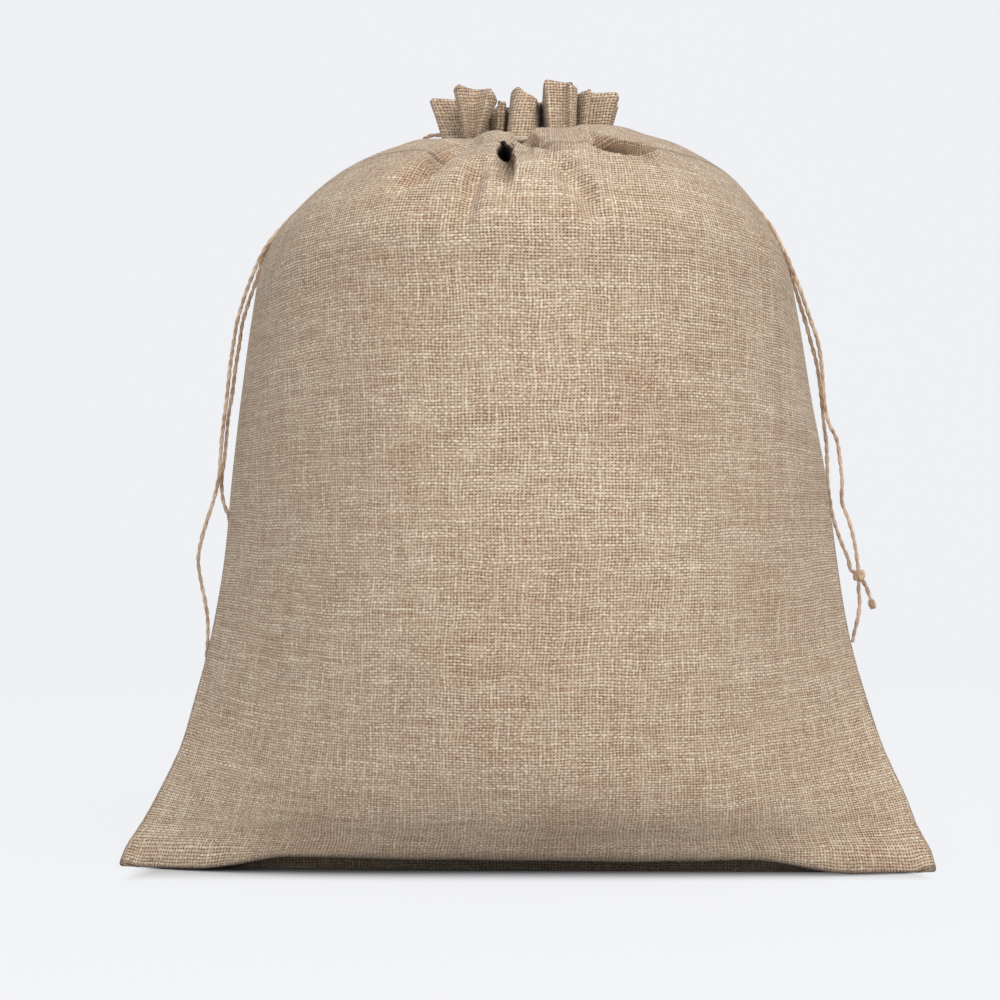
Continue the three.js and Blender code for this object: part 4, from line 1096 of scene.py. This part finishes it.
def area_light(name, place, aim, size, power, colour):
    data = bpy.data.lights.new(name, "AREA")
    data.shape = "RECTANGLE"
    data.size, data.size_y = size
    data.energy = power
    data.color = colour
    light = bpy.data.objects.new(name, data)
    light.location = place
    light.rotation_euler = (Vector(aim) - Vector(place)).to_track_quat("-Z", "Y").to_euler()
    bpy.context.scene.collection.objects.link(light)
    return light


def backdrop_material():
    """Pale paint. The camera sees it evenly bright, with only part of the shade that falls on it."""
    material, tree = new_material("pale_backdrop")
    diffuse = tree.node("ShaderNodeBsdfDiffuse", {"Color": (0.62, 0.625, 0.64, 1.0)})
    even = tree.node("ShaderNodeEmission", {"Color": (0.945, 0.955, 0.98, 1.0), "Strength": 1.0})
    place = tree.node("ShaderNodeNewGeometry").outputs["Position"]
    axes = tree.node("ShaderNodeSeparateXYZ", {0: place}).outputs
    # Metres from the middle of the bag between which the full shade under it fades.
    before = tree.smooth(axes["Y"], -0.044, -0.008, 1.0, 0.0)
    beside = tree.smooth(tree.math("ABSOLUTE", axes["X"]), 0.132, 0.145)
    behind = tree.smooth(axes["Y"], 0.03, 0.06)
    apart = tree.math("MAXIMUM", tree.math("MAXIMUM", before, beside), behind)
    even_share = tree.math("MULTIPLY", apart, 0.85)
    seen = tree.math("MULTIPLY", tree.node("ShaderNodeLightPath").outputs["Is Camera Ray"], even_share)
    mixed = tree.node("ShaderNodeMixShader", {0: seen, 1: diffuse.outputs[0], 2: even.outputs[0]})
    tree.node("ShaderNodeOutputMaterial", {"Surface": mixed.outputs[0]})
    return material


def build_backdrop():
    """A pale floor that rises in a wide curve behind the bag."""
    wide, front, back, bend, top = 6.0, -2.2, 2.4, 1.2, 4.0
    profile = [(front, 0.0), (back - bend, 0.0)]
    for a in np.linspace(0.05, math.pi / 2, 20):
        profile.append((back - bend + bend * math.sin(a), bend - bend * math.cos(a)))
    profile.append((back, top))
    points, faces = [], []
    for k, (y, z) in enumerate(profile):
        points += [(-wide, y, z), (wide, y, z)]
        if k:
            faces.append((2 * k - 2, 2 * k - 1, 2 * k + 1, 2 * k))
    floor = mesh_object("studio_floor", points, faces)
    floor.data.materials.append(backdrop_material())


WORLD_LIGHT = 0.42      # strength with which the world lights the bag
WORLD_SEEN = 0.98       # strength with which the camera sees it


def build_world():
    world = bpy.data.worlds.new("studio")
    world.use_nodes = True
    world.node_tree.nodes.clear()
    tree = Tree(world.node_tree)
    seen = tree.node("ShaderNodeLightPath").outputs["Is Camera Ray"]
    strength = tree.math("MULTIPLY_ADD", seen, WORLD_SEEN - WORLD_LIGHT, WORLD_LIGHT)
    shade = tree.node("ShaderNodeBackground", {"Color": (0.96, 0.98, 1.0, 1.0), "Strength": strength})
    tree.node("ShaderNodeOutputWorld", {"Surface": shade.outputs[0]})
    bpy.context.scene.world = world


def build_camera(settings):
    data = bpy.data.cameras.new("photographer")
    data.lens = settings.lens
    data.sensor_width = 36.0
    data.clip_end = 50.0
    camera = bpy.data.objects.new("photographer", data)
    camera.location = (settings.across, -settings.distance, settings.height)
    camera.rotation_euler = (math.pi / 2, 0.0, 0.0)
    bpy.context.scene.collection.objects.link(camera)
    bpy.context.scene.camera = camera


# ---- Operators ------------------------------------------------------------------------------

class GIFTBAG_OT_stage(bpy.types.Operator):
    """Set up the camera, floor and light"""
    bl_idname = "giftbag.stage"
    bl_label = "Stage"

    def execute(self, context):
        scene = context.scene
        scene.view_settings.view_transform = "Standard"
        build_camera(scene.gift_bag_stage)
        build_backdrop()
        build_world()
        area_light("key", (0.75, -1.5, 1.3), (0, 0, 0.14), (1.3, 1.3), 24, (1.0, 0.985, 0.96))
        area_light("fill", (-0.8, -1.7, 0.6), (0, 0, 0.14), (1.3, 1.3), 10, (0.95, 0.975, 1.0))
        area_light("overhead", (0.1, 0.1, 1.9), (0, 0, 0), (2.4, 2.4), 11, (1.0, 1.0, 1.0))
        return {"FINISHED"}


class GIFTBAG_OT_drawstrings(bpy.types.Operator):
    """Build the free ends of both drawstrings with their knots"""
    bl_idname = "giftbag.drawstrings"
    bl_label = "Drawstrings"

    def execute(self, context):
        settings = context.scene.gift_bag_twine
        left = ("left_drawcord_outer", "left_drawcord_inner", "left_knot", "left_knot_tail")
        right = ("right_drawcord_outer", "right_drawcord_inner", "right_knot", "right_knot_tail")
        build_side(settings, left, LEFT_OUTER, LEFT_INNER, LEFT_KNOT, 21)
        build_side(settings, right, RIGHT_OUTER, RIGHT_INNER, RIGHT_KNOT, 41)
        return {"FINISHED"}


class GIFTBAG_OT_panels(bpy.types.Operator):
    """Build the two cloth panels"""
    bl_idname = "giftbag.panels"
    bl_label = "Cloth Panels"

    def execute(self, context):
        settings = context.scene.gift_bag_cloth
        material = cloth_material(settings)
        for node, first, share in (("front_panel", -90.0, 1.0), ("back_panel", 90.0, 0.75)):
            piece = panel_object(node + "_cloth", first, settings, share)
            piece.data.materials.append(material)
            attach(piece, "root")
            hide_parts(node)
        return {"FINISHED"}


class GIFTBAG_PT_panel(bpy.types.Panel):
    """Everything that builds the bag"""
    bl_idname = "GIFTBAG_PT_panel"
    bl_label = "Gift Bag"
    bl_space_type = "VIEW_3D"
    bl_region_type = "UI"
    bl_category = "Gift Bag"

    def draw(self, context):
        for operator in OPERATORS:
            self.layout.operator(operator.bl_idname)


SETTINGS = (GiftBagCloth, GiftBagTwine, GiftBagStage)
OPERATORS = (GIFTBAG_OT_stage, GIFTBAG_OT_drawstrings, GIFTBAG_OT_panels)
CLASSES = (*SETTINGS, *OPERATORS, GIFTBAG_PT_panel)


def register():
    for each in CLASSES:
        bpy.utils.register_class(each)
    bpy.types.Scene.gift_bag_cloth = bpy.props.PointerProperty(type=GiftBagCloth)
    bpy.types.Scene.gift_bag_twine = bpy.props.PointerProperty(type=GiftBagTwine)
    bpy.types.Scene.gift_bag_stage = bpy.props.PointerProperty(type=GiftBagStage)


def unregister():
    del bpy.types.Scene.gift_bag_cloth
    del bpy.types.Scene.gift_bag_twine
    del bpy.types.Scene.gift_bag_stage
    for each in reversed(CLASSES):
        bpy.utils.unregister_class(each)


def main():
    register()
    bpy.ops.giftbag.stage()
    bpy.ops.giftbag.drawstrings()
    bpy.ops.giftbag.panels()


if __name__ == "__main__":
    main()
